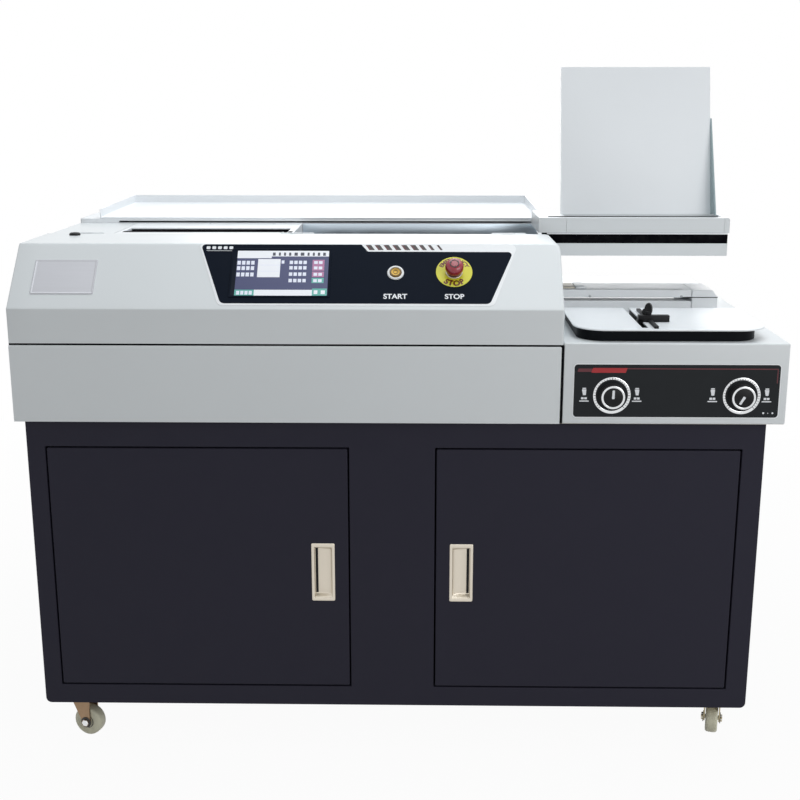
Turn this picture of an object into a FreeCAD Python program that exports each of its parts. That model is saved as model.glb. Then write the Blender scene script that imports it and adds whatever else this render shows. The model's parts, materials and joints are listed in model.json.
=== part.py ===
import FreeCAD, Part
import os
from math import atan2, cos, degrees, hypot, pi, radians, sin

from FreeCAD import Vector

# Book binding machine with a creasing unit at its right end, on a cabinet with casters.
# The front is -Y, the right end is +X and the floor is z = 0. All lengths are millimetres.

# Stations from left to right, whose sizes and gaps add up to the body's width
slot_left_inset = 123.0
slot_length = 304.0
slot_end_gap = 2.0
platform_right_margin = 10.0
tank_left_gap = 26.0
tank_length = 230.0
tank_right_inset = 206.0
body_width = (slot_left_inset + slot_length + slot_end_gap + platform_right_margin + tank_left_gap
              + tank_length + tank_right_inset)

# Whole machine: body and creasing unit side by side, hood, channel and rear deck from front to rear
sheet = 1.5
unit_gap = 4.0
unit_width = 365.0
machine_width = body_width + unit_gap + unit_width
hood_depth = 246.0
channel_width = 222.0
rear_deck_depth = 310.5
body_depth = hood_depth + channel_width + sheet + rear_deck_depth
chassis_thickness = 3.0
running_clearance = 0.05
sliding_clearance = 0.5
part_clearance = 0.3
overrun = 5.0

# Panel knobs, which reach furthest to the front
knob_radius = 21.0
knob_face_radius = 19.0
knob_height = 16.0
knob_skirt_height = 3.0
knob_shaft_radius = 3.5
knob_shaft_length = 14.0
knob_left_inset = 80.0
knob_right_inset = 74.0
knob_rise = 48.5
knob_panel_gap = 1.0

# Power inlet and its rocker, which reach furthest to the rear
inlet_width = 80.0
inlet_height = 50.0
inlet_flange = 3.0
inlet_body_depth = 34.0
inlet_wall = 3.0
inlet_left_inset = 100.0
inlet_rise = 45.0
socket_width = 24.0
socket_height = 17.0
socket_depth = 18.0
rocker_width = 18.0
rocker_half_height = 12.0
rocker_back = 6.0
rocker_tip = 4.5
rocker_waist = 2.5
rocker_tilt = 8.0
rocker_clearance = 0.6
rocker_pin_radius = 1.5

rocker_reach = rocker_tip * cos(radians(rocker_tilt)) + rocker_half_height * sin(radians(rocker_tilt))
front_reach = knob_panel_gap + knob_height
depth_over_all = front_reach + body_depth + rocker_reach
front_y = front_reach - depth_over_all / 2
rear_y = front_y + body_depth
left_x = -machine_width / 2
right_x = machine_width / 2

# Casters
caster_height = 86.0
caster_inset_x = 42.0
caster_inset_y = 57.0
caster_plate_side = 60.0
caster_plate_thickness = 2.5
caster_race_radius = 20.0
caster_race_height = 6.0
caster_race_gap = 0.3
caster_crown_thickness = 3.0
caster_crown_radius = 19.0
kingpin_radius = 4.0
kingpin_head_radius = 7.0
kingpin_head_height = 3.0
wheel_radius = 27.0
wheel_width = 22.0
wheel_hub_radius = 11.0
wheel_hub_recess = 3.0
wheel_round = 3.0
wheel_trail = 20.0
fork_gap = 1.0
fork_thickness = 2.5
fork_end_radius = 8.0
fork_shoulder = 11.0
axle_radius = 4.0
axle_nut_radius = 6.5
axle_nut_height = 4.0
caster_angles = {"front_left": -18.0, "front_right": 75.0, "rear_left": 150.0, "rear_right": 35.0}

# Cabinet
cabinet_height = 517.5
cabinet_left_inset = 13.5
cabinet_right_inset = 26.5
cabinet_width = machine_width - cabinet_left_inset - cabinet_right_inset
cabinet_front_inset = 13.0
cabinet_rear_inset = 13.0
cabinet_sheet = 1.5
frame_left_stile = 30.0
frame_right_stile = 36.0
frame_centre_stile = 144.0
frame_top_rail = 46.5
frame_bottom_rail = 35.0
frame_return = 25.0
cabinet_left_x = left_x + cabinet_left_inset
cabinet_right_x = cabinet_left_x + cabinet_width
cabinet_front_y = front_y + cabinet_front_inset
cabinet_rear_y = rear_y - cabinet_rear_inset
cabinet_bottom_z = caster_height
cabinet_top_z = caster_height + cabinet_height

# Doors and their flush pulls
door_gap = 2.5
door_return = 18.0
door_sheet = 1.5
hinge_pin_radius = 3.0
hinge_pin_length = 12.0
hinge_pin_inset = 8.0
hinge_pin_setback = 5.5
pull_width = 40.0
pull_height = 106.0
pull_flange = 1.2
pull_border = 3.0
pull_depth = 13.0
pull_wall = 1.2
pull_grip_width = 8.0
pull_edge_inset = 23.5
pull_top_drop = 169.5
opening_width = (cabinet_width - frame_left_stile - frame_right_stile - frame_centre_stile) / 2
opening_bottom_z = cabinet_bottom_z + frame_bottom_rail
opening_top_z = cabinet_top_z - frame_top_rail
left_opening_x = cabinet_left_x + frame_left_stile
right_opening_x = left_opening_x + opening_width + frame_centre_stile

# Housing on the cabinet
lower_cover_height = 128.5
seam_gap = 1.5
hood_front_height = 58.5
slant_depth = 90.0
slant_rise = 96.0
hood_corner_chamfer = 12.0
hood_overlap = 3.0
hood_return = 12.0
deck_drop = 3.0
deck_sheet = 3.0
rear_deck_step = 8.5
groove_height = 5.5
groove_left_inset = 75.0
body_right_x = left_x + body_width
unit_left_x = body_right_x + unit_gap
cover_top_z = cabinet_top_z + lower_cover_height
hood_bottom_z = cover_top_z + seam_gap
slant_bottom_z = hood_bottom_z + hood_front_height
top_z = slant_bottom_z + slant_rise
hood_rear_y = front_y + hood_depth
deck_z = top_z - deck_drop
rear_deck_z = deck_z + rear_deck_step
channel_rear_y = hood_rear_y + channel_width + sheet
chassis_top_z = cabinet_top_z + chassis_thickness
inner_left_x = left_x + sheet
inner_right_x = body_right_x - sheet
hood_right_x = body_right_x + hood_overlap
hood_inner_x = hood_right_x - sheet
slant_length = hypot(slant_depth, slant_rise)
slant_angle = degrees(atan2(slant_rise, slant_depth))

# Hood hinge
hinge_rail_depth = 14.0
hinge_rail_height = 34.0
hinge_rail_wall = 2.0
hinge_ear_reach = 30.0
hinge_corner_gap = 1.0
hinge_ear_height = 82.0
knuckle_radius = 3.0
knuckle_length = 20.0
knuckle_gap = 0.4
hood_pin_radius = 1.5
hinge_web = 2.0
hood_axis_drop = 1.0
hood_axis_y = hood_rear_y
hood_axis_z = top_z - hood_axis_drop
hinge_place_shares = (0.08, 0.5, 0.92)
plate_corner_share = 0.45

# Console on the slanted face: insets from the body's right end and distances up the slope
panel_thickness = 0.8
panel_bottom_rise = 9.0
panel_top_rise = 130.5
panel_bottom_left_x = body_right_x - 558.0
panel_bottom_right_x = body_right_x - 113.0
panel_top_left_x = body_right_x - 597.0
panel_top_right_x = body_right_x - 71.0
screen_centre_x = body_right_x - 459.0
screen_rise = 71.5
screen_width = 166.0
screen_height = 98.0
screen_bezel = 1.2
screen_lip = 6.0
screen_depth = 32.0
screen_fit = 1.0
start_x = body_right_x - 270.0
start_rise = 72.0
start_radius = 9.0
start_proud = 4.0
start_depth = 14.0
start_flange_radius = 11.5
start_flange_thickness = 2.0
button_clearance = 0.3
start_travel = 3.0
stop_x = body_right_x - 174.0
stop_rise = 74.0
stop_stem_radius = 11.0
stop_stem_depth = 36.0
stop_stem_proud = 3.5
stop_nut_radius = 14.0
stop_nut_thickness = 4.0
stop_head_radius = 15.0
stop_head_start = 9.0
stop_head_height = 16.0
stop_plunger_radius = 7.0
stop_plunger_depth = 24.0
stop_plunger_top = 3.0
stop_head_round = 4.0
stop_travel = 5.0

# Book carriage: rear clamp, end blocks, moving front jaw
jaw_gap = 1.5
jaw_height = 27.0
jaw_thickness = 26.0
jaw_setback = 38.0
throat_width = 62.0
throat_length = 286.0
clamp_thickness = 16.0
clamp_lip = 1.5
left_block_width = 50.0
right_block_width = 9.0
block_depth = 150.0
block_overhang = 15.0
tongue_height = 14.0
tongue_left_length = 34.0
tongue_right_length = 5.0
jaw_travel = 58.0
jaw_pad = 2.0
arm_thickness = 3.0
arm_gap = 1.0
arm_inset = 40.0
carriage_left_x = body_right_x - block_overhang
throat_left_x = carriage_left_x + left_block_width
throat_right_x = throat_left_x + throat_length
carriage_right_x = throat_right_x + right_block_width
jaw_front_y = hood_rear_y + jaw_setback
throat_front_y = jaw_front_y + jaw_thickness
throat_rear_y = throat_front_y + throat_width
clamp_rear_y = throat_rear_y + clamp_thickness
jaw_bottom_z = deck_z + jaw_gap
jaw_top_z = jaw_bottom_z + jaw_height
clamp_top_z = jaw_top_z - clamp_lip
arm_bottom_z = deck_z + arm_gap
arm_top_z = arm_bottom_z + arm_thickness

# Backrest and side stop
board_width = 280.0
board_height = 269.0
board_lean = 73.0
board_sheet = 2.0
board_return = 14.0
board_setback = 2.0
board_left_x = throat_left_x
board_right_x = board_left_x + board_width
board_gusset_depth = 60.0
board_gusset_height = 95.0
board_gusset_inset = 40.0
stop_plate = 3.0
stop_reach = 34.0
stop_height = 175.0
stop_foot_width = 12.0
stop_foot_depth = 9.0
stop_foot_height = 17.0

# Rail beam, bearings and belt drive
beam_depth = 60.0
beam_height = 46.0
beam_wall = 5.0
beam_gap = 12.0
beam_end_inset_left = 20.0
rail_width = 15.0
rail_height = 9.0
bearing_width = 34.0
bearing_length = 60.0
bearing_lift = 2.5
bearing_stack = 18.0
bearing_inset = 60.0
pulley_radius = 22.0
pulley_width = 12.0
pulley_rim = 2.0
pulley_inset = 15.0
pulley_shaft_radius = 6.0
pulley_gap = 6.0
belt_thickness = 2.0
belt_width = 8.0
belt_drop = 30.0
belt_clamp_width = 30.0
belt_clamp_wall = 4.0
belt_clearance = 0.4
beam_front_y = channel_rear_y + beam_gap
beam_rear_y = beam_front_y + beam_depth
beam_top_z = arm_bottom_z - bearing_stack
beam_bottom_z = beam_top_z - beam_height
beam_left_x = inner_left_x + beam_end_inset_left
rail_y = beam_front_y + beam_depth / 2
pulley_front_y = beam_rear_y + pulley_gap
pulley_rear_y = pulley_front_y + pulley_width
belt_y = (pulley_front_y + pulley_rear_y) / 2
pulley_z = beam_top_z - belt_drop

# Spine slot, platform and nip
platform_left_margin = 8.0
platform_end_gap = 8.0
platform_gap = 1.0
platform_front_gap = 4.0
platform_travel = 30.0
carrier_thickness = 6.0
carrier_drop = 39.0
nip_block_depth = 16.0
nip_block_height = 20.0
nip_travel = 55.0
nip_foot_width = 30.0
nip_foot_inset = 30.0
nip_foot_depth = 30.0
lift_post_radius = 8.0
lift_post_inset = 36.0
lift_sleeve_radius = 15.0
lift_sleeve_length = 60.0
lift_post_overlap = 25.0
slot_left_x = left_x + slot_left_inset
slot_right_x = slot_left_x + slot_length
platform_left_x = slot_left_x - platform_left_margin
platform_right_x = slot_right_x + slot_end_gap + platform_right_margin
platform_front_y = hood_rear_y + platform_front_gap
platform_rear_y = channel_rear_y - sheet - platform_gap
platform_top_z = deck_z
platform_under_z = deck_z - deck_sheet
carrier_top_z = deck_z - carrier_drop
carrier_bottom_z = carrier_top_z - carrier_thickness
carriage_travel = (throat_left_x + throat_right_x) / 2 - (slot_left_x + slot_right_x) / 2

# Leveling table and its black spine guide
spine_drop = 19.0
table_height = 22.5
table_plate = 3.0
table_right_inset = 2.0
guide_setback = 4.0
guide_wall = 3.0
guide_height = 17.5
guide_end_inset = 3.0
wall_clearance = 5.0
table_top_z = jaw_bottom_z - spine_drop
table_bottom_z = table_top_z - table_height
table_right_x = carriage_right_x - table_right_inset

# Milling cutter, glue tank and their drives
cutter_radius = 44.0
cutter_thickness = 9.0
cutter_gap = 0.5
cutter_teeth = 12
cutter_notch = 5.0
cutter_shaft_radius = 8.0
cutter_shaft_length = 22.0
cutter_right_inset = 76.0
motor_radius = 45.0
motor_height = 145.0
motor_gap = 12.0
motor_stand_side = 70.0
tank_depth = 90.0
tank_height = 54.0
tank_wall = 3.0
tank_rim_drop = 7.5
tank_stand_length = 130.0
tank_stand_depth = 40.0
roller_radius = 21.0
roller_length = 58.0
roller_shaft_radius = 6.0
roller_left_inset = 60.0
roller_pitch = 90.0
roller_gap = 0.5
roller_pulley_radius = 14.0
roller_pulley_width = 10.0
roller_belt_width = 8.0
roller_pulley_gap = 2.0
glue_motor_radius = 20.0
glue_motor_length = 52.0
glue_motor_gap = 3.0
glue_motor_bore = 10.0
glue_stand_side = 30.0
drive_motor_radius = 35.0
drive_motor_length = 90.0
drive_motor_gap = 4.0
drive_motor_bore = 12.0
drive_stand_side = 40.0
book_line_y = (throat_front_y + throat_rear_y) / 2

# Tray on the rear deck
tray_left_inset = 39.0
tray_rear_inset = 10.0
tray_floor_start = 1.0
tray_floor_rise = 5.5
tray_sheet = 1.5
tray_flange = 17.0

# Creasing unit
unit_height = 135.0
unit_top_z = cabinet_top_z + unit_height
base_inset_left = 26.0
base_inset_right = 45.0
base_front_inset = 18.0
base_height = 18.0
base_depth = 200.0
base_round = 42.0
crease_sheet = 2.5
crease_left_inset = 20.0
crease_right_inset = 29.0
crease_front_inset = 10.0
crease_depth = 216.0
crease_round = 52.0
guide_slot_width = 10.0
guide_slot_inset = 135.0
guide_slot_start = 18.0
guide_slot_depth = 12.0
bridge_front_inset = 310.0
bridge_depth = 90.0
bridge_lift = 26.0
bridge_height = 13.5
bridge_left_inset = 12.0
bridge_post = 14.0
anvil_height = 19.0
anvil_depth = 34.0
bridge_post_depth = bridge_depth - anvil_depth
blade_travel = 5.0
blade_gap = 0.5
blade_thickness = 2.0
blade_holder_thickness = 8.0
blade_holder_depth = 1.0
blade_lip = 4.0
blade_setback = 8.0
drive_cover_width = 48.0
drive_cover_shoulder = 38.0
drive_cover_gap = 1.0
drive_cover_height = bridge_lift + bridge_height
drive_cover_low = 26.5
drive_cover_inset = 46.0
bridge_width = unit_width - bridge_left_inset - drive_cover_gap - drive_cover_width - drive_cover_inset

# Paper stop and its clamp knob
stop_bar_length = 65.0
stop_bar_depth = 12.0
stop_bar_height = 11.0
stop_bar_front_inset = 79.0
stop_bar_overhang = 3.0
stop_blade_width = 7.0
stop_blade_length = 175.0
stop_blade_height = 4.0
stop_blade_offset = 16.0
stop_blade_front_inset = 19.0
stop_key_depth = 9.0
stop_screw_radius = 3.0
stop_screw_length = 8.0
stop_screw_offset = 19.0
clamp_hub_radius = 5.5
clamp_hub_height = 6.0
clamp_wing_width = 20.0
clamp_wing_thickness = 5.0
clamp_wing_height = 14.0
stop_forward_travel = 40.0
stop_rear_travel = 100.0

# Control box in the cabinet
control_width = 300.0
control_depth = 140.0
control_height = 310.0
control_inset_x = 140.0
control_rise = 80.0
control_lid = 2.0
control_foot = 12.0
control_foot_height = 6.0

# Cover screws
screw_head_radius = 3.5
screw_head_height = 1.5
screw_shank_radius = 2.0
screw_shank_length = 8.0
front_screw_inset = 31.0
front_screw_low = 21.5
front_screw_high = 114.5
rear_screw_inset = 40.0
rear_screw_count = 5


def box(x0, x1, y0, y1, z0, z1):
    return Part.makeBox(x1 - x0, y1 - y0, z1 - z0, Vector(x0, y0, z0))


def rod_x(x0, x1, y, z, radius):
    return Part.makeCylinder(radius, x1 - x0, Vector(x0, y, z), Vector(1, 0, 0))


def rod_y(y0, y1, x, z, radius):
    return Part.makeCylinder(radius, y1 - y0, Vector(x, y0, z), Vector(0, 1, 0))


def rod_z(z0, z1, x, y, radius):
    return Part.makeCylinder(radius, z1 - z0, Vector(x, y, z0), Vector(0, 0, 1))


def face_of(points):
    return Part.Face(Part.makePolygon(points + points[:1]))


def yz_prism(points, x0, x1):
    return face_of([Vector(x0, y, z) for y, z in points]).extrude(Vector(x1 - x0, 0, 0))


def xz_prism(points, y0, y1):
    return face_of([Vector(x, y0, z) for x, z in points]).extrude(Vector(0, y1 - y0, 0))


def xy_prism(points, z0, z1):
    return face_of([Vector(x, y, z0) for x, y in points]).extrude(Vector(0, 0, z1 - z0))


def fuse(shapes):
    return shapes[0].fuse(shapes[1:]).removeSplitter()


def cut(shape, tools):
    return shape.cut(tools)


def on_slant(shape):
    # Moves a shape built in x, rise up the slope and height off the face onto the slanted face
    shape.rotate(Vector(0, 0, 0), Vector(1, 0, 0), slant_angle)
    shape.translate(Vector(0, front_y, slant_bottom_z))
    return shape


def slant_rod(x, rise, low, high, radius):
    return on_slant(rod_z(low, high, x, rise, radius))


def edges_along(shape, axis, test):
    found = []
    for edge in shape.Edges:
        if len(edge.Vertexes) != 2:
            continue
        ends = [vertex.Point for vertex in edge.Vertexes]
        run = ends[1] - ends[0]
        if run.Length and abs(abs(run.normalize().dot(axis)) - 1) < 1e-6 and test(ends[0]):
            found.append(edge)
    return found


def save(name, shapes):
    shape = shapes[0] if len(shapes) == 1 else Part.makeCompound(shapes)
    for solid in shape.Solids:
        if not solid.isValid():
            print("not valid:", name)
    shape.exportStep("parts/" + name + ".step")
    print(name, len(shape.Solids), "solids", round(shape.Volume / 1000), "cm3")


def hollow_frame(x0, x1, z0, z1, y0, depth, wall):
    # Four strips around a rectangular opening, standing back from the face at y0
    return [box(x0 - wall, x0, y0, y0 + depth, z0 - wall, z1 + wall),
            box(x1, x1 + wall, y0, y0 + depth, z0 - wall, z1 + wall),
            box(x0, x1, y0, y0 + depth, z0 - wall, z0),
            box(x0, x1, y0, y0 + depth, z1, z1 + wall)]


# Cabinet

def cabinet_shell():
    inner_y0 = cabinet_front_y + cabinet_sheet
    side_top = cabinet_top_z
    left = box(cabinet_left_x, cabinet_left_x + cabinet_sheet, inner_y0, cabinet_rear_y,
               cabinet_bottom_z, side_top)
    right = box(cabinet_right_x - cabinet_sheet, cabinet_right_x, inner_y0, cabinet_rear_y,
                cabinet_bottom_z, side_top)
    back = box(cabinet_left_x + cabinet_sheet, cabinet_right_x - cabinet_sheet,
               cabinet_rear_y - cabinet_sheet, cabinet_rear_y, cabinet_bottom_z, side_top)
    bottom = box(cabinet_left_x + cabinet_sheet, cabinet_right_x - cabinet_sheet, inner_y0,
                 cabinet_rear_y - cabinet_sheet, cabinet_bottom_z, cabinet_bottom_z + cabinet_sheet)
    return [left, right, back, bottom]


def door_axes():
    left = left_opening_x + door_gap + hinge_pin_inset
    right = right_opening_x + opening_width - door_gap - hinge_pin_inset
    return left, right


def cabinet_front_frame():
    plate_y1 = cabinet_front_y + cabinet_sheet
    plate = box(cabinet_left_x, cabinet_right_x, cabinet_front_y, plate_y1, cabinet_bottom_z, cabinet_top_z)
    pieces = []
    holes = []
    for x0 in (left_opening_x, right_opening_x):
        x1 = x0 + opening_width
        holes.append(box(x0, x1, cabinet_front_y - overrun, plate_y1 + overrun,
                         opening_bottom_z, opening_top_z))
        pieces += hollow_frame(x0, x1, opening_bottom_z, opening_top_z, cabinet_front_y,
                               frame_return, cabinet_sheet)
    frame = fuse([cut(plate, holes)] + pieces)
    pins = []
    pin_y = cabinet_front_y + hinge_pin_setback
    for pin_x in door_axes():
        pins.append(rod_z(opening_bottom_z, opening_bottom_z + hinge_pin_length, pin_x, pin_y,
                          hinge_pin_radius))
        pins.append(rod_z(opening_top_z - hinge_pin_length, opening_top_z, pin_x, pin_y,
                          hinge_pin_radius))
    return [frame] + pins


def pull_place(hinge_on_left):
    # The x range of a flush pull's flange and its lowest height
    if hinge_on_left:
        x1 = left_opening_x + opening_width - door_gap - pull_edge_inset
        x0 = x1 - pull_width
    else:
        x0 = right_opening_x + door_gap + pull_edge_inset
        x1 = x0 + pull_width
    return x0, x1, opening_top_z - pull_top_drop - pull_height


def door(hinge_on_left):
    opening_x = left_opening_x if hinge_on_left else right_opening_x
    x0 = opening_x + door_gap
    x1 = opening_x + opening_width - door_gap
    z0 = opening_bottom_z + door_gap
    z1 = opening_top_z - door_gap
    y0 = cabinet_front_y
    outer = box(x0, x1, y0, y0 + door_return, z0, z1)
    inner = box(x0 + door_sheet, x1 - door_sheet, y0 + door_sheet, y0 + door_return + overrun,
                z0 + door_sheet, z1 - door_sheet)
    pull_x0, pull_x1, pull_z0 = pull_place(hinge_on_left)
    window = box(pull_x0 + pull_border, pull_x1 - pull_border, y0 - overrun, y0 + door_sheet + overrun,
                 pull_z0 + pull_border, pull_z0 + pull_height - pull_border)
    pin_x = door_axes()[0 if hinge_on_left else 1]
    pin_hole = rod_z(z0 - overrun, z1 + overrun, pin_x, y0 + hinge_pin_setback,
                     hinge_pin_radius + running_clearance)
    return [cut(outer, [inner, window, pin_hole])]


def door_pull(hinge_on_left):
    x0, x1, z0 = pull_place(hinge_on_left)
    z1 = z0 + pull_height
    y0 = cabinet_front_y
    fit = pull_border + part_clearance
    flange = box(x0, x1, y0 - pull_flange, y0, z0, z1)
    cup = box(x0 + fit, x1 - fit, y0 - pull_flange, y0 + pull_depth, z0 + fit, z1 - fit)
    cup_x0 = x0 + fit + pull_wall
    cup_x1 = x1 - fit - pull_wall
    deep_y = y0 + pull_depth - pull_wall
    front = y0 - pull_flange - overrun
    # The scoop is deep under the grip edge, at the hinge side, and rises to the other side
    if hinge_on_left:
        scoop = [(cup_x0, front), (cup_x1, front), (cup_x1, y0 + pull_wall),
                 (cup_x0 + pull_grip_width, deep_y), (cup_x0, deep_y)]
    else:
        scoop = [(cup_x0, front), (cup_x1, front), (cup_x1, deep_y), (cup_x1 - pull_grip_width, deep_y),
                 (cup_x0, y0 + pull_wall)]
    hollow = xy_prism(scoop, z0 + fit + pull_wall, z1 - fit - pull_wall)
    return [cut(fuse([flange, cup]), [hollow])]


# Casters

def caster_places():
    xs = {"left": cabinet_left_x + caster_inset_x, "right": cabinet_right_x - caster_inset_x}
    ys = {"front": cabinet_front_y + caster_inset_y, "rear": cabinet_rear_y - caster_inset_y}
    return {name: (xs[name.split("_")[1]], ys[name.split("_")[0]]) for name in caster_angles}


caster_plate_z = caster_height - caster_plate_thickness
race_bottom_z = caster_plate_z - caster_race_height
crown_top_z = race_bottom_z - caster_race_gap
crown_bottom_z = crown_top_z - caster_crown_thickness


def caster_plate(x, y):
    half = caster_plate_side / 2
    plate = box(x - half, x + half, y - half, y + half, caster_plate_z, caster_height)
    race = rod_z(race_bottom_z, caster_plate_z, x, y, caster_race_radius)
    head_top = crown_bottom_z - caster_race_gap
    pin = rod_z(head_top - kingpin_head_height, caster_plate_z, x, y, kingpin_radius)
    head = rod_z(head_top - kingpin_head_height, head_top, x, y, kingpin_head_radius)
    return fuse([plate, race, pin, head])


def turned(shape, x, y, angle):
    shape.rotate(Vector(x, y, 0), Vector(0, 0, 1), angle)
    return shape


def caster_fork(x, y, angle):
    inner = wheel_width / 2 + fork_gap
    outer = inner + fork_thickness
    axle_x = x + wheel_trail
    crown = rod_z(crown_bottom_z, crown_top_z, x, y, caster_crown_radius)
    bridge = box(x - fork_shoulder, axle_x + fork_end_radius, y - outer, y + outer,
                 crown_bottom_z, crown_top_z)
    parts = [crown, bridge]
    for side in (-1, 1):
        near, far = sorted((side * inner, side * outer))
        leg = [(x - fork_shoulder, crown_top_z), (axle_x + fork_end_radius, crown_top_z),
               (axle_x + fork_end_radius, wheel_radius), (axle_x - fork_end_radius, wheel_radius)]
        parts.append(xz_prism(leg, y + near, y + far))
        parts.append(rod_y(y + near, y + far, axle_x, wheel_radius, fork_end_radius))
    axle = rod_y(y - outer, y + outer, axle_x, wheel_radius, axle_radius)
    nut_a = rod_y(y - outer - axle_nut_height, y - outer, axle_x, wheel_radius, axle_nut_radius)
    nut_b = rod_y(y + outer, y + outer + axle_nut_height, axle_x, wheel_radius, axle_nut_radius)
    body = fuse(parts + [axle, nut_a, nut_b])
    bore = rod_z(crown_bottom_z - overrun, crown_top_z + overrun, x, y, kingpin_radius + running_clearance)
    return turned(cut(body, [bore]), x, y, angle)


def caster_wheel(x, y, angle):
    half = wheel_width / 2
    axle_x = x + wheel_trail
    profile = [Vector(axle_x, y - half, wheel_radius + axle_radius + running_clearance),
               Vector(axle_x, y - half, wheel_radius + wheel_hub_radius),
               Vector(axle_x, y - half + wheel_hub_recess,
                      wheel_radius + wheel_hub_radius + wheel_hub_recess),
               Vector(axle_x, y - half, wheel_radius + wheel_hub_radius + 2 * wheel_hub_recess),
               Vector(axle_x, y - half, 2 * wheel_radius - wheel_round),
               Vector(axle_x, y - half + wheel_round, 2 * wheel_radius),
               Vector(axle_x, y + half - wheel_round, 2 * wheel_radius),
               Vector(axle_x, y + half, 2 * wheel_radius - wheel_round),
               Vector(axle_x, y + half, wheel_radius + wheel_hub_radius + 2 * wheel_hub_recess),
               Vector(axle_x, y + half - wheel_hub_recess,
                      wheel_radius + wheel_hub_radius + wheel_hub_recess),
               Vector(axle_x, y + half, wheel_radius + wheel_hub_radius),
               Vector(axle_x, y + half, wheel_radius + axle_radius + running_clearance)]
    wheel = face_of(profile).revolve(Vector(axle_x, y, wheel_radius), Vector(0, 1, 0), 360)
    return turned(wheel, x, y, angle)


# Housing

def platform_posts():
    xs = (platform_left_x + lift_post_inset, platform_right_x - lift_post_inset)
    ys = (platform_front_y + lift_post_inset, platform_rear_y - lift_post_inset)
    return [(x, y) for x in xs for y in ys]


def chassis_plate():
    plate = box(left_x + sheet, right_x - sheet, front_y + sheet, rear_y - sheet,
                cabinet_top_z, chassis_top_z)
    post_top = carrier_bottom_z - lift_sleeve_length + lift_post_overlap
    posts = [rod_z(chassis_top_z, post_top, x, y, lift_post_radius) for x, y in platform_posts()]
    return [plate] + posts


def lower_front_cover():
    face = box(left_x, body_right_x, front_y, front_y + sheet, cabinet_top_z, cover_top_z)
    lip = box(left_x + sheet, body_right_x - sheet, front_y + sheet, front_y + hood_return,
              cover_top_z - sheet, cover_top_z)
    return [fuse([face, lip])]


def left_end_cover():
    # The end sheet steps up behind the hood and folds over as the deck left of the platform
    y0 = front_y + sheet
    rise_y = hood_rear_y + platform_front_gap
    end = yz_prism([(y0, cabinet_top_z), (rear_y - sheet, cabinet_top_z), (rear_y - sheet, rear_deck_z),
                    (channel_rear_y, rear_deck_z), (channel_rear_y, deck_z), (rise_y, deck_z),
                    (rise_y, cover_top_z), (y0, cover_top_z)], left_x, inner_left_x)
    deck = box(inner_left_x, platform_left_x - platform_gap, rise_y, channel_rear_y - sheet,
               deck_z - sheet, deck_z)
    return [end, deck]


def right_end_wall():
    # The wall is low across the channel and over the beam, so that the carriage passes out
    y0 = front_y + sheet
    rise_y = hood_rear_y + platform_front_gap
    beam_y0 = beam_front_y - part_clearance
    high_y = pulley_rear_y + wall_clearance
    channel_top = table_bottom_z
    belt_y = beam_rear_y + part_clearance
    belt_low_z = pulley_z - pulley_radius - belt_thickness - wall_clearance
    outline = [(y0, chassis_top_z), (rear_y - sheet, chassis_top_z), (rear_y - sheet, rear_deck_z - sheet),
               (high_y, rear_deck_z - sheet), (high_y, belt_low_z), (belt_y, belt_low_z),
               (belt_y, beam_bottom_z), (beam_y0, beam_bottom_z), (beam_y0, channel_top), (rise_y, channel_top), (rise_y, cover_top_z), (y0, cover_top_z)]
    return [yz_prism(outline, inner_right_x, body_right_x)]


def rear_cover():
    y0 = rear_y - sheet
    outline = [(left_x, cabinet_top_z), (right_x, cabinet_top_z), (right_x, unit_top_z - sheet),
               (body_right_x, unit_top_z - sheet), (body_right_x, rear_deck_z - sheet),
               (left_x, rear_deck_z - sheet)]
    panel = xz_prism(outline, y0, rear_y)
    x0, z0 = inlet_corner()
    window = box(x0 + inlet_wall, x0 + inlet_width - inlet_wall, y0 - overrun, rear_y + overrun,
                 z0 + inlet_wall, z0 + inlet_height - inlet_wall)
    return [cut(panel, [window])]


def rear_deck():
    # Deck behind the channel, folded down as the channel's rear wall, with the carriage's groove in it
    y0 = channel_rear_y - sheet
    groove_z0 = arm_bottom_z - arm_gap
    groove_z1 = groove_z0 + groove_height
    deck = box(inner_left_x, inner_right_x, y0, rear_y - sheet, rear_deck_z - sheet, rear_deck_z)
    lip = box(inner_left_x, inner_right_x, y0, channel_rear_y, groove_z1, rear_deck_z - sheet)
    wall = box(inner_left_x, inner_right_x, y0, channel_rear_y, chassis_top_z, groove_z0)
    bridge = box(inner_left_x, inner_left_x + groove_left_inset, y0, channel_rear_y, groove_z0, groove_z1)
    return [fuse([deck, lip]), wall, bridge]


def rear_tray():
    y0 = channel_rear_y - sheet
    y1 = rear_y - tray_rear_inset
    x0 = left_x + tray_left_inset
    x1 = body_right_x
    front_z = rear_deck_z + tray_floor_start
    back_z = front_z + tray_floor_rise
    skirt = [(y0, rear_deck_z), (y1, rear_deck_z), (y1, back_z + tray_flange), (y0, front_z + tray_flange)]
    outer = yz_prism(skirt, x0, x1)
    above = [(y0 - overrun, front_z + tray_sheet), (y1 - tray_sheet, back_z + tray_sheet),
             (y1 - tray_sheet, back_z + 2 * tray_flange), (y0 - overrun, front_z + 2 * tray_flange)]
    below = [(y0 + tray_sheet, rear_deck_z - overrun), (y1 - tray_sheet, rear_deck_z - overrun),
             (y1 - tray_sheet, back_z), (y0 + tray_sheet, front_z)]
    return [cut(outer, [yz_prism(above, x0 + tray_sheet, x1 - tray_sheet),
                        yz_prism(below, x0 + tray_sheet, x1 - tray_sheet)])]


def hinge_places():
    return [left_x + share * body_width for share in hinge_place_shares]


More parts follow.
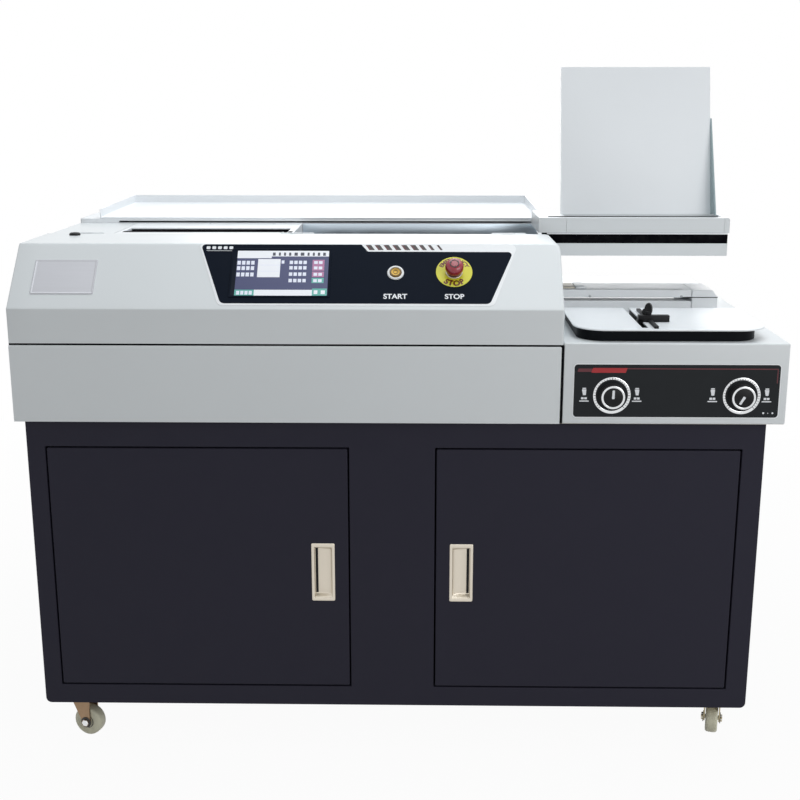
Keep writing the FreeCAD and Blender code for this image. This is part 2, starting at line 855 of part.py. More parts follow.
def hood_profile(offset, rear):
    # The hood's section, drawn in by the offset, open towards the bottom
    low_shift = offset * (slant_length - slant_rise) / slant_depth
    high_shift = offset * (slant_length - slant_depth) / slant_rise
    bottom = hood_bottom_z - (overrun if offset else 0)
    return [(front_y + offset, bottom), (front_y + offset, slant_bottom_z - low_shift),
            (front_y + slant_depth + high_shift, top_z - offset), (rear, top_z - offset), (rear, bottom)]


def hood():
    rear = hood_rear_y - knuckle_radius / 2
    outer = yz_prism(hood_profile(0, rear), left_x, hood_right_x)
    inner = yz_prism(hood_profile(sheet, rear + overrun), inner_left_x, hood_inner_x)
    corner = hood_corner_chamfer
    reach = overrun
    wedge = xz_prism([(hood_right_x - corner - reach, top_z + reach), (hood_right_x + reach, top_z + reach),
                      (hood_right_x + reach, top_z - corner - reach)], front_y - overrun, rear + overrun)
    inner_corner = corner + sheet
    inner_wedge = xz_prism([(hood_inner_x - inner_corner + sheet - reach, top_z + reach),
                            (hood_inner_x + reach, top_z + reach),
                            (hood_inner_x + reach, top_z - inner_corner + sheet - reach)],
                           front_y - overrun, rear + 2 * overrun)
    inner_wedge.translate(Vector(-sheet / 2, 0, -sheet / 2))
    shell = cut(cut(outer, [wedge]), [cut(inner, [inner_wedge])])
    lip = box(inner_left_x, hood_inner_x, front_y + sheet, front_y + hood_return, hood_bottom_z,
              hood_bottom_z + sheet)
    lugs = []
    slots = []
    for x in hinge_places():
        half = knuckle_length / 2
        slots.append(box(x - half - knuckle_gap, x + half + knuckle_gap,
                         hood_axis_y - 2 * knuckle_radius, hood_axis_y + overrun,
                         hood_axis_z - 2 * knuckle_radius, top_z + overrun))
        for side in (-1, 1):
            near = x + side * (half + knuckle_gap)
            x0, x1 = sorted((near, near + side * knuckle_length))
            lugs.append(rod_x(x0, x1, hood_axis_y, hood_axis_z, knuckle_radius))
            lugs.append(box(x0, x1, rear - knuckle_radius, hood_axis_y,
                            hood_axis_z - hood_axis_drop, top_z))
    bores = [rod_x(x - knuckle_length * 2, x + knuckle_length * 2, hood_axis_y, hood_axis_z,
                   hood_pin_radius + running_clearance) for x in hinge_places()]
    screen = on_slant(box(screen_centre_x - screen_width / 2 + screen_lip - screen_fit,
                          screen_centre_x + screen_width / 2 - screen_lip + screen_fit,
                          screen_rise - screen_height / 2 + screen_lip - screen_fit,
                          screen_rise + screen_height / 2 - screen_lip + screen_fit, -overrun, overrun))
    start = slant_rod(start_x, start_rise, -overrun, overrun, start_radius + button_clearance)
    stop = slant_rod(stop_x, stop_rise, -overrun, overrun, stop_stem_radius + button_clearance)
    body = fuse([cut(shell, slots), lip] + lugs)
    return [cut(body, bores + [screen, start, stop])]


def hood_hinge_rail():
    y1 = hood_rear_y
    y0 = y1 - hinge_rail_depth
    z1 = hood_axis_z - knuckle_radius - part_clearance
    z0 = z1 - hinge_rail_height
    ear_x0 = inner_left_x + part_clearance
    ear_x1 = inner_right_x - part_clearance
    x0 = ear_x0 + hinge_rail_wall
    x1 = ear_x1 - hinge_rail_wall
    outer = box(x0, x1, y0, y1, z0, z1)
    inner = box(x0 - overrun, x1 + overrun, y0 + hinge_rail_wall, y1 - hinge_rail_wall,
                z0 + hinge_rail_wall, z1 - hinge_rail_wall)
    rail = cut(outer, [inner])
    ear_top = deck_z - deck_sheet
    ears = [box(low, low + hinge_rail_wall, y0, y1 + hinge_ear_reach, ear_top - hinge_ear_height, ear_top)
            for low in (ear_x0, x1)]
    lugs = []
    pins = []
    for x in hinge_places():
        half = knuckle_length / 2
        lugs.append(rod_x(x - half, x + half, hood_axis_y, hood_axis_z, knuckle_radius))
        lugs.append(box(x - half, x + half, hood_axis_y - hinge_web, hood_axis_y + hinge_web / 2,
                        z1 - hinge_rail_wall, hood_axis_z))
        reach = half + knuckle_gap + knuckle_length
        pins.append(rod_x(x - reach, x + reach, hood_axis_y, hood_axis_z, hood_pin_radius))
    # The right end is cut away under the hood's cut corner
    reach = overrun
    corner = hood_corner_chamfer + 2 * sheet + hinge_corner_gap
    wedge = xz_prism([(body_right_x - corner - reach, top_z + reach), (body_right_x + reach, top_z + reach),
                      (body_right_x + reach, top_z - corner - reach)],
                     y0 - overrun, y1 + hinge_ear_reach + overrun)
    return [cut(fuse([rail] + lugs + pins), [wedge]), ears[0], cut(ears[1], [wedge])]


# Console

def console_panel():
    low = panel_bottom_rise
    high = panel_top_rise
    plate = on_slant(xy_prism([(panel_bottom_left_x, low), (panel_bottom_right_x, low),
                               (panel_top_right_x, high), (panel_top_left_x, high)], 0, panel_thickness))
    screen = on_slant(box(screen_centre_x - screen_width / 2 - screen_fit,
                          screen_centre_x + screen_width / 2 + screen_fit,
                          screen_rise - screen_height / 2 - screen_fit,
                          screen_rise + screen_height / 2 + screen_fit, -overrun, overrun))
    start = slant_rod(start_x, start_rise, -overrun, overrun, start_radius + button_clearance)
    stop = slant_rod(stop_x, stop_rise, -overrun, overrun, stop_stem_radius + button_clearance)
    return [cut(plate, [screen, start, stop])]


def touch_screen():
    half_w = screen_width / 2
    half_h = screen_height / 2
    bezel = box(screen_centre_x - half_w, screen_centre_x + half_w, screen_rise - half_h,
                screen_rise + half_h, 0, panel_thickness + screen_bezel)
    body = box(screen_centre_x - half_w + screen_lip, screen_centre_x + half_w - screen_lip,
               screen_rise - half_h + screen_lip, screen_rise + half_h - screen_lip, -screen_depth, 0)
    return [on_slant(fuse([bezel, body]))]


def start_button():
    cap = rod_z(-start_depth, panel_thickness + start_proud, start_x, start_rise, start_radius)
    flange = rod_z(-start_depth, -start_depth + start_flange_thickness, start_x, start_rise,
                   start_flange_radius)
    top = edges_round(cap, panel_thickness + start_proud)
    cap = cap.makeFillet(start_proud / 4, top)
    return [on_slant(fuse([cap, flange]))]


def edges_round(shape, height):
    # The circular edges that lie at one height
    return [edge for edge in shape.Edges
            if edge.BoundBox.ZLength < 1e-6 and abs(edge.BoundBox.ZMin - height) < 1e-6]


def stop_stem():
    stem = rod_z(-stop_stem_depth, stop_stem_proud, stop_x, stop_rise, stop_stem_radius)
    nut = rod_z(-stop_stem_depth, -stop_stem_depth + stop_nut_thickness, stop_x, stop_rise, stop_nut_radius)
    bore = rod_z(-stop_plunger_depth - stop_travel - part_clearance, stop_stem_proud + overrun, stop_x,
                 stop_rise, stop_plunger_radius + running_clearance)
    return [on_slant(cut(fuse([stem, nut]), [bore]))]


def stop_plunger():
    top = stop_head_start + stop_head_height - stop_plunger_top
    return [slant_rod(stop_x, stop_rise, -stop_plunger_depth, top, stop_plunger_radius)]


def stop_head():
    base = stop_head_start
    top = base + stop_head_height
    head = rod_z(base, top, stop_x, stop_rise, stop_head_radius)
    head = head.makeFillet(stop_head_round, edges_round(head, top))
    bore = rod_z(base - overrun, top - stop_plunger_top + part_clearance, stop_x, stop_rise,
                 stop_plunger_radius + running_clearance)
    return [on_slant(cut(head, [bore]))]


# Book carriage

def tongue_heights():
    middle = (jaw_bottom_z + jaw_top_z) / 2
    return middle - tongue_height / 2, middle + tongue_height / 2


def carriage_frame():
    z0, z1 = tongue_heights()
    block_rear_y = jaw_front_y + block_depth
    left = box(carriage_left_x, throat_left_x, jaw_front_y, block_rear_y, jaw_bottom_z, jaw_top_z)
    right = box(throat_right_x, carriage_right_x, jaw_front_y, block_rear_y, jaw_bottom_z, jaw_top_z)
    right = right.makeFillet(right_block_width / 2, edges_along(
        right, Vector(0, 1, 0), lambda p: p.x > throat_right_x + overrun and p.z > jaw_bottom_z + overrun))
    clamp = box(throat_left_x, throat_right_x, throat_rear_y, clamp_rear_y, jaw_bottom_z, clamp_top_z)
    arm = box(throat_left_x + arm_inset, throat_right_x - arm_inset, clamp_rear_y - clamp_thickness / 2,
              pulley_rear_y + belt_clamp_wall, arm_bottom_z, arm_top_z)
    ways = [box(throat_left_x - tongue_left_length - sliding_clearance, throat_left_x + overrun,
                jaw_front_y + clamp_lip, throat_rear_y, z0 - sliding_clearance, z1 + sliding_clearance),
            box(throat_right_x - overrun, throat_right_x + tongue_right_length + sliding_clearance,
                jaw_front_y + clamp_lip, throat_rear_y, z0 - sliding_clearance, z1 + sliding_clearance)]
    clamp_bar = cut(fuse([clamp, arm]), ways)
    return [cut(left, ways), cut(right, ways), clamp_bar] + bearings() + [belt_clamp()]


def bearings():
    blocks = []
    for x in (throat_left_x + bearing_inset, throat_right_x - bearing_inset):
        block = box(x - bearing_length / 2, x + bearing_length / 2, rail_y - bearing_width / 2,
                    rail_y + bearing_width / 2, beam_top_z + bearing_lift, arm_bottom_z)
        way = box(x - bearing_length, x + bearing_length, rail_y - rail_width / 2 - part_clearance,
                  rail_y + rail_width / 2 + part_clearance, beam_top_z,
                  beam_top_z + rail_height + part_clearance)
        blocks.append(cut(block, [way]))
    return blocks


def belt_clamp():
    x = (throat_left_x + throat_right_x) / 2
    run_z = pulley_z + pulley_radius + part_clearance
    block = box(x - belt_clamp_width / 2, x + belt_clamp_width / 2,
                belt_y - belt_width / 2 - belt_clearance - belt_clamp_wall,
                belt_y + belt_width / 2 + belt_clearance + belt_clamp_wall,
                run_z - belt_clearance - belt_clamp_wall, arm_bottom_z)
    way = box(x - belt_clamp_width, x + belt_clamp_width, belt_y - belt_width / 2 - belt_clearance,
              belt_y + belt_width / 2 + belt_clearance, run_z - belt_clearance,
              run_z + belt_thickness + belt_clearance)
    return cut(block, [way])


def front_jaw():
    z0, z1 = tongue_heights()
    gap = part_clearance
    bar = box(throat_left_x + gap, throat_right_x - gap, jaw_front_y, throat_front_y, jaw_bottom_z, jaw_top_z)
    y0 = jaw_front_y + clamp_lip + gap
    tongue_y1 = throat_front_y
    left = box(throat_left_x - tongue_left_length, throat_left_x + gap, y0, tongue_y1, z0, z1)
    right = box(throat_right_x - gap, throat_right_x + tongue_right_length, y0, tongue_y1, z0, z1)
    return [fuse([bar, left, right])]


def board_line(height):
    # y of the backrest's front face at a height above its foot
    return throat_rear_y + board_setback + board_lean * height / board_height


def backrest_board():
    foot_z = clamp_top_z
    top_height = board_height
    front = [(board_line(0), foot_z), (board_line(top_height), foot_z + top_height)]
    sheet_y = board_sheet
    back = [(front[1][0] + sheet_y, front[1][1]), (front[0][0] + sheet_y, foot_z)]
    skin = yz_prism(front + back, board_left_x, board_right_x)
    side = front + [(front[1][0] + board_return, front[1][1]), (front[0][0] + board_return, foot_z)]
    left = yz_prism(side, board_left_x, board_left_x + board_sheet)
    right = yz_prism(side, board_right_x - board_sheet, board_right_x)
    top = box(board_left_x, board_right_x, front[1][0], front[1][0] + board_return,
              foot_z + top_height - board_sheet, foot_z + top_height)
    foot = box(board_left_x, board_right_x, board_line(0), board_line(0) + board_return,
               foot_z, foot_z + board_sheet)
    gussets = []
    gusset_y0 = board_line(0) + board_return / 2
    for x in (board_left_x + board_gusset_inset, board_right_x - board_gusset_inset):
        outline = [(gusset_y0, foot_z), (board_line(0) + board_gusset_depth, foot_z),
                   (board_line(board_gusset_height) + board_sheet, foot_z + board_gusset_height),
                   (board_line(0) + board_sheet / 2, foot_z)]
        gussets.append(yz_prism(outline[1:], x, x + board_sheet))
        gussets.append(box(x, x + board_gusset_inset / 2, clamp_rear_y, board_line(0) + board_gusset_depth,
                           arm_top_z, arm_top_z + board_sheet))
        gussets.append(box(x, x + board_sheet, clamp_rear_y, board_line(0) + board_gusset_depth,
                           arm_top_z, foot_z + board_sheet))
    return [fuse([skin, left, right, top, foot] + gussets)]


def side_stop():
    x0 = board_right_x
    x1 = x0 + stop_plate
    foot_z = clamp_top_z
    base_y = board_line(0)
    low = jaw_top_z + part_clearance
    top_y = board_line(stop_height)
    outline = [(base_y - stop_reach, low), (base_y, low), (base_y, foot_z), (base_y + board_return, foot_z),
               (top_y + board_return, foot_z + stop_height), (top_y, foot_z + stop_height)]
    return [yz_prism(outline, x0, x1)]


# Leveling table, beam and drive

def leveling_table():
    x0 = body_right_x
    x1 = table_right_x
    y0 = jaw_front_y
    y1 = beam_front_y
    under = table_top_z - table_plate
    top = box(x0, x1, y0, y1, under, table_top_z)
    front = box(x0, x1, y0, y0 + table_plate, table_bottom_z, under)
    back = box(x0, x1, y1 - table_plate, y1, table_bottom_z, under)
    ribs = [box(x, x + table_plate, y0 + table_plate, y1 - table_plate, table_bottom_z, under)
            for x in (x0, x1 - table_plate, (x0 + x1) / 2)]
    return [top, front, back] + ribs


def spine_guide():
    y0 = throat_rear_y + guide_setback
    x1 = table_right_x - guide_end_inset
    fence = box(body_right_x, x1, y0, y0 + guide_wall, table_top_z, table_top_z + guide_height)
    end = box(x1 - guide_wall, x1, jaw_front_y + guide_setback, y0, table_top_z, table_top_z + guide_height)
    return [fence, end]


def rail_beam():
    low_z = beam_bottom_z + beam_wall
    high_z = beam_top_z - beam_wall
    walls = [box(beam_left_x, carriage_right_x, beam_front_y, beam_rear_y, beam_bottom_z, low_z),
             box(beam_left_x, carriage_right_x, beam_front_y, beam_rear_y, high_z, beam_top_z),
             box(beam_left_x, carriage_right_x, beam_front_y, beam_front_y + beam_wall, low_z, high_z),
             box(beam_left_x, carriage_right_x, beam_rear_y - beam_wall, beam_rear_y, low_z, high_z)]
    stand_x = (beam_left_x, (beam_left_x + body_right_x) / 2, inner_right_x - beam_depth)
    stands = [box(x, x + beam_depth, beam_front_y, beam_rear_y, chassis_top_z, beam_bottom_z)
              for x in stand_x]
    stub_x = carriage_right_x - pulley_inset
    stub = rod_y(beam_rear_y, pulley_rear_y, stub_x, pulley_z, pulley_shaft_radius)
    rail = box(beam_left_x, carriage_right_x, rail_y - rail_width / 2, rail_y + rail_width / 2,
               beam_top_z, beam_top_z + rail_height)
    return walls + [stub, rail] + stands


def pulley_places():
    return beam_left_x + pulley_inset, carriage_right_x - pulley_inset


def pulley(x, with_shaft):
    rim = rod_y(pulley_front_y, pulley_rear_y, x, pulley_z, pulley_radius)
    if not with_shaft:
        return [cut(rim, [rod_y(pulley_front_y - overrun, pulley_rear_y + overrun, x, pulley_z,
                                pulley_shaft_radius + running_clearance)])]
    shaft = rod_y(pulley_rear_y, pulley_rear_y + drive_motor_gap + drive_motor_bore, x, pulley_z,
                  pulley_shaft_radius)
    return [fuse([rim, shaft])]


def belt_loop(x0, x1, z, radius, y, width):
    y0 = y - width / 2
    y1 = y + width / 2
    inner_r = radius + part_clearance
    outer_r = inner_r + belt_thickness
    outer = fuse([box(x0, x1, y0, y1, z - outer_r, z + outer_r), rod_y(y0, y1, x0, z, outer_r),
                  rod_y(y0, y1, x1, z, outer_r)])
    low = y0 - overrun
    high = y1 + overrun
    inner = fuse([box(x0, x1, low, high, z - inner_r, z + inner_r), rod_y(low, high, x0, z, inner_r),
                  rod_y(low, high, x1, z, inner_r)])
    return cut(outer, [inner])


def drive_belts():
    x0, x1 = pulley_places()
    roller_x0, roller_x1 = roller_places()
    return [belt_loop(x0, x1, pulley_z, pulley_radius, belt_y, belt_width),
            belt_loop(roller_x0, roller_x1, roller_z, roller_pulley_radius, roller_pulley_y(),
                      roller_belt_width)]


# Platform and nip

def platform_frame():
    slot_y0 = throat_front_y
    slot_y1 = throat_rear_y
    plate = box(platform_left_x, platform_right_x, platform_front_y, platform_rear_y,
                platform_under_z, platform_top_z)
    slot = box(slot_left_x, slot_right_x, slot_y0, slot_y1, platform_under_z - overrun,
               platform_top_z + overrun)
    nip_bay = box(slot_left_x, slot_right_x, platform_front_y - overrun, slot_y0 + overrun,
                  platform_under_z - overrun, platform_top_z + overrun)
    top = cut(plate, [slot, nip_bay])
    carrier = box(platform_left_x, platform_right_x, platform_front_y, platform_rear_y,
                  carrier_bottom_z, carrier_top_z)
    cheeks = [box(platform_left_x, slot_left_x - sliding_clearance, platform_front_y, platform_rear_y,
                  carrier_top_z, platform_under_z),
              box(slot_right_x + sliding_clearance, platform_right_x, platform_front_y, platform_rear_y,
                  carrier_top_z, platform_under_z)]
    fixed_nip = box(slot_left_x, slot_right_x, slot_y1, slot_y1 + nip_block_depth,
                    platform_under_z - nip_block_height, platform_under_z)
    sleeves = [rod_z(carrier_bottom_z - lift_sleeve_length, carrier_bottom_z, x, y, lift_sleeve_radius)
               for x, y in platform_posts()]
    bores = [rod_z(carrier_bottom_z - lift_sleeve_length - overrun, carrier_bottom_z, x, y,
                   lift_post_radius + running_clearance) for x, y in platform_posts()]
    return [top, carrier, fixed_nip] + cheeks + [cut(sleeve, bores) for sleeve in sleeves]


def front_nip_plate():
    x0 = slot_left_x + sliding_clearance
    x1 = slot_right_x - platform_end_gap
    y1 = throat_front_y
    plate = box(x0, x1, platform_front_y, y1, platform_under_z, platform_top_z)
    block = box(x0, x1, y1 - nip_block_depth, y1, platform_under_z - nip_block_height, platform_under_z)
    feet = [box(x, x + nip_foot_width, y1 - nip_foot_depth, y1, carrier_top_z + part_clearance,
                platform_under_z) for x in (x0 + nip_foot_inset, x1 - nip_foot_inset - nip_foot_width)]
    return [fuse([plate, block] + feet)]


# Milling cutter, glue tank and motors

cutter_x = body_right_x - cutter_right_inset
cutter_top_z = table_top_z - cutter_gap
cutter_bottom_z = cutter_top_z - cutter_thickness
tank_right_x = body_right_x - tank_right_inset
tank_left_x = tank_right_x - tank_length
tank_front_y = book_line_y - tank_depth / 2
tank_top_z = table_top_z - tank_rim_drop
roller_z = table_top_z - roller_gap - roller_radius


def roller_places():
    return tank_left_x + roller_left_inset, tank_left_x + roller_left_inset + roller_pitch


def roller_pulley_y():
    return tank_front_y + tank_depth + roller_pulley_gap + roller_pulley_width / 2


def milling_cutter():
    disc = rod_z(cutter_bottom_z, cutter_top_z, cutter_x, book_line_y, cutter_radius)
    notches = []
    for index in range(cutter_teeth):
        notch = box(cutter_x + cutter_radius - cutter_notch, cutter_x + cutter_radius + overrun,
                    book_line_y - cutter_notch / 2, book_line_y + cutter_notch / 2,
                    cutter_bottom_z - overrun, cutter_top_z + overrun)
        notch.rotate(Vector(cutter_x, book_line_y, 0), Vector(0, 0, 1), 360 / cutter_teeth * index)
        notches.append(notch)
    shaft = rod_z(cutter_bottom_z - cutter_shaft_length, cutter_bottom_z, cutter_x, book_line_y,
                  cutter_shaft_radius)
    return [fuse([cut(disc, notches), shaft])]


def milling_motor():
    top = cutter_bottom_z - motor_gap
    case = rod_z(top - motor_height, top, cutter_x, book_line_y, motor_radius)
    half = motor_stand_side / 2
    stand = box(cutter_x - half, cutter_x + half, book_line_y - half, book_line_y + half,
                chassis_top_z, top - motor_height)
    bore = rod_z(cutter_bottom_z - cutter_shaft_length - part_clearance, top + overrun, cutter_x,
                 book_line_y, cutter_shaft_radius + running_clearance)
    return cut(fuse([case, stand]), [bore])


def glue_motor():
    x = roller_places()[0]
    y0 = roller_pulley_y() + roller_pulley_width / 2 + glue_motor_gap
    case = rod_y(y0, y0 + glue_motor_length, x, roller_z, glue_motor_radius)
    half = glue_stand_side / 2
    stand = box(x - half, x + half, y0 + glue_motor_bore, y0 + glue_motor_length, chassis_top_z, roller_z)
    bore = rod_y(y0 - overrun, y0 + glue_motor_bore, x, roller_z, roller_shaft_radius + running_clearance)
    return cut(fuse([case, stand]), [bore])


def carriage_motor():
    x = pulley_places()[0]
    y0 = pulley_rear_y + drive_motor_gap
    case = rod_y(y0, y0 + drive_motor_length, x, pulley_z, drive_motor_radius)
    half = drive_stand_side / 2
    stand = box(x - half, x + half, y0 + drive_motor_bore, y0 + drive_motor_length - drive_motor_bore,
                chassis_top_z, pulley_z)
    bore = rod_y(y0 - overrun, y0 + drive_motor_bore + part_clearance, x, pulley_z,
                 pulley_shaft_radius + running_clearance)
    return cut(fuse([case, stand]), [bore])


def glue_tank():
    z0 = tank_top_z - tank_height
    y1 = tank_front_y + tank_depth
    outer = box(tank_left_x, tank_right_x, tank_front_y, y1, z0, tank_top_z)
    inner = box(tank_left_x + tank_wall, tank_right_x - tank_wall, tank_front_y + tank_wall, y1 - tank_wall,
                z0 + tank_wall, tank_top_z + overrun)
    middle = (tank_left_x + tank_right_x) / 2
    stand = box(middle - tank_stand_length / 2, middle + tank_stand_length / 2,
                book_line_y - tank_stand_depth / 2, book_line_y + tank_stand_depth / 2, chassis_top_z, z0)
    bores = [rod_y(tank_front_y - overrun, y1 + overrun, x, roller_z, roller_shaft_radius + running_clearance)
             for x in roller_places()]
    return [cut(cut(outer, [inner]), bores), stand]


def glue_roller(x, drives):
    half = roller_length / 2
    drum = rod_y(book_line_y - half, book_line_y + half, x, roller_z, roller_radius)
    pulley_y = roller_pulley_y()
    end_y = pulley_y + roller_pulley_width / 2
    if drives:
        end_y += glue_motor_gap + glue_motor_bore - part_clearance
    shaft = rod_y(tank_front_y, end_y, x, roller_z, roller_shaft_radius)
    wheel = rod_y(pulley_y - roller_pulley_width / 2, pulley_y + roller_pulley_width / 2, x, roller_z,
                  roller_pulley_radius)
    return [fuse([drum, shaft, wheel])]


# Creasing unit

def creaser_housing():
    x0 = unit_left_x
    y0 = front_y + sheet
    y1 = rear_y - sheet
    under = unit_top_z - sheet
    front = box(x0, right_x, front_y, y0, cabinet_top_z, unit_top_z)
    holes = [rod_y(front_y - overrun, front_y + overrun, x, z, knob_shaft_radius + part_clearance)
             for x, z in knob_places()]
    top = box(x0, right_x, y0, y1, under, unit_top_z)
    inner_side = box(x0, x0 + sheet, y0, y1, chassis_top_z, under)
    outer_side = box(right_x - sheet, right_x, y0, y1, cabinet_top_z, under)
    return [cut(front, holes), top, inner_side, outer_side]


def rounded_plate(x0, x1, y0, y1, z0, z1, radius):
    # A plate with its two front corners rounded
    plate = box(x0, x1, y0, y1, z0, z1)
    corner = min(radius, (x1 - x0) * plate_corner_share, (y1 - y0) * plate_corner_share)
    return plate.makeFillet(corner, edges_along(plate, Vector(0, 0, 1), lambda p: p.y < (y0 + y1) / 2))


guide_slot_x = unit_left_x + guide_slot_inset
base_top_z = unit_top_z + base_height
crease_top_z = base_top_z + crease_sheet


def crease_table_base():
    x0 = unit_left_x + base_inset_left
    x1 = right_x - base_inset_right
    y0 = front_y + base_front_inset
    base = rounded_plate(x0, x1, y0, y0 + base_depth, unit_top_z, base_top_z, base_round)
    half = guide_slot_width / 2
    way = box(guide_slot_x - half, guide_slot_x + half, front_y + crease_front_inset + guide_slot_start,
              y0 + base_depth + overrun, base_top_z - guide_slot_depth, base_top_z + overrun)
    return [cut(base, [way])]


def crease_table():
    x0 = unit_left_x + crease_left_inset
    x1 = right_x - crease_right_inset
    y0 = front_y + crease_front_inset
    plate = rounded_plate(x0, x1, y0, y0 + crease_depth, base_top_z, crease_top_z, crease_round)
    half = guide_slot_width / 2
    way = box(guide_slot_x - half, guide_slot_x + half, y0 + guide_slot_start, y0 + crease_depth + overrun,
              base_top_z - overrun, crease_top_z + overrun)
    return [cut(plate, [way])]


bridge_left_x = unit_left_x + bridge_left_inset
bridge_right_x = bridge_left_x + bridge_width
bridge_front_y = front_y + bridge_front_inset
bridge_bottom_z = unit_top_z + bridge_lift


def blade_way():
    # The blade's slot between the bridge's two bars
    y0 = bridge_front_y + blade_setback
    return y0 - sliding_clearance, y0 + blade_holder_thickness + sliding_clearance


def creaser_bridge():
    low = bridge_bottom_z
    high = bridge_bottom_z + bridge_height
    rear_y = bridge_front_y + bridge_depth
    slot_y0, slot_y1 = blade_way()
    ends = (bridge_left_x, bridge_right_x - bridge_post)
    bars = [box(bridge_left_x, bridge_right_x, bridge_front_y, slot_y0, low, high),
            box(bridge_left_x, bridge_right_x, slot_y1, rear_y, low, high)]
    blocks = [box(x, x + bridge_post, slot_y0, slot_y1, low, high) for x in ends]
    posts = [box(x, x + bridge_post, rear_y - bridge_post_depth, rear_y, unit_top_z, low) for x in ends]
    anvil = box(bridge_left_x, bridge_right_x, bridge_front_y, bridge_front_y + anvil_depth,
                unit_top_z, unit_top_z + anvil_height)
    return bars + blocks + posts + [anvil]


def crease_blade():
    x0 = bridge_left_x + bridge_post + sliding_clearance
    x1 = bridge_right_x - bridge_post - sliding_clearance
    y0 = bridge_front_y + blade_setback
    tip = unit_top_z + anvil_height + blade_gap + blade_travel
    middle = y0 + blade_holder_thickness / 2
    holder = box(x0, x1, y0, y0 + blade_holder_thickness, tip + blade_lip,
                 bridge_bottom_z + bridge_height - blade_holder_depth)
    blade = box(x0, x1, middle - blade_thickness / 2, middle + blade_thickness / 2, tip, tip + blade_lip)
    return [fuse([holder, blade])]


def creaser_drive_cover():
    x0 = bridge_right_x + drive_cover_gap
    x1 = x0 + drive_cover_width
    low = unit_top_z
    shoulder_x = x0 + drive_cover_shoulder
    outline = [(x0, low), (x1, low), (x1, low + drive_cover_low), (shoulder_x, low + drive_cover_height),
               (x0, low + drive_cover_height)]
    return [xz_prism(outline, bridge_front_y, bridge_front_y + bridge_depth)]


def stop_bar_y():
    return front_y + stop_bar_front_inset


def stop_screw_place():
    x = guide_slot_x - guide_slot_width / 2 + stop_screw_offset
    return x, stop_bar_y() + stop_bar_depth / 2


def paper_stop():
    x0 = guide_slot_x - stop_bar_overhang
    y0 = stop_bar_y()
    low = crease_top_z + part_clearance
    bar = box(x0, x0 + stop_bar_length, y0, y0 + stop_bar_depth, low, low + stop_bar_height)
    blade_y0 = front_y + stop_blade_front_inset
    blade_x0 = x0 + stop_blade_offset
    blade = box(blade_x0, blade_x0 + stop_blade_width, blade_y0, blade_y0 + stop_blade_length,
                low, low + stop_blade_height)
    half = guide_slot_width / 2 - sliding_clearance
    key = box(guide_slot_x - half, guide_slot_x + half, y0, y0 + stop_bar_depth,
              low - stop_key_depth, low + stop_blade_height)
    x, y = stop_screw_place()
    bore = rod_z(low + stop_bar_height - stop_screw_length, low + stop_bar_height + overrun, x, y,
                 stop_screw_radius + running_clearance)
    return [cut(fuse([bar, blade, key]), [bore])]


def clamp_knob():
    x, y = stop_screw_place()
    bar_top = crease_top_z + part_clearance + stop_bar_height
    low = bar_top + part_clearance
    hub_top = low + clamp_hub_height
    hub = rod_z(low, hub_top, x, y, clamp_hub_radius)
    wing = box(x - clamp_wing_thickness / 2, x + clamp_wing_thickness / 2, y - clamp_wing_width / 2,
               y + clamp_wing_width / 2, hub_top, hub_top + clamp_wing_height)
    wing.rotate(Vector(x, y, 0), Vector(0, 0, 1), 60)
    screw = rod_z(bar_top - stop_screw_length + part_clearance, low, x, y, stop_screw_radius)
    return [fuse([hub, wing, screw])]


def knob_places():
    z = cabinet_top_z + knob_rise
    return [(unit_left_x + knob_left_inset, z), (right_x - knob_right_inset, z)]


def panel_knob(x, z):
    face_y = front_y - knob_panel_gap - knob_height
    skirt_y = front_y - knob_panel_gap - knob_skirt_height
    skirt = rod_y(skirt_y, front_y - knob_panel_gap, x, z, knob_radius)
    grip = Part.makeCone(knob_face_radius, knob_radius, skirt_y - face_y, Vector(x, face_y, z),
                         Vector(0, 1, 0))
    shaft = rod_y(front_y - knob_panel_gap, front_y + knob_shaft_length, x, z, knob_shaft_radius)
    return [fuse([skirt, grip, shaft])]


# Power inlet, switch, control box and screws

def inlet_corner():
    return left_x + inlet_left_inset, cabinet_top_z + inlet_rise


def rocker_centre():
    x0, z0 = inlet_corner()
    return x0 + inlet_width * 3 / 4, rear_y, z0 + inlet_height / 2


def power_inlet():
    x0, z0 = inlet_corner()
    x1 = x0 + inlet_width
    z1 = z0 + inlet_height
    flange = box(x0, x1, rear_y, rear_y + inlet_flange, z0, z1)
    fit = inlet_wall + part_clearance
    body = box(x0 + fit, x1 - fit, rear_y - inlet_body_depth, rear_y, z0 + fit, z1 - fit)
    middle_z = (z0 + z1) / 2
    socket_x = x0 + inlet_width * 3 / 10
    socket = box(socket_x - socket_width / 2, socket_x + socket_width / 2,
                 rear_y + inlet_flange - socket_depth, rear_y + inlet_flange + overrun,
                 middle_z - socket_height / 2, middle_z + socket_height / 2)
    x, y, z = rocker_centre()
    half = hypot(rocker_half_height, rocker_back) + rocker_clearance
    bay = box(x - rocker_width / 2 - rocker_clearance, x + rocker_width / 2 + rocker_clearance,
              y - rocker_back - rocker_half_height / 2, y + inlet_flange + overrun, z - half, z + half)
    pin = rod_x(x - rocker_width / 2 - rocker_clearance - rocker_pin_radius,
                x + rocker_width / 2 + rocker_clearance + rocker_pin_radius, y, z, rocker_pin_radius)
    return [fuse([cut(fuse([flange, body]), [socket, bay]), pin])]


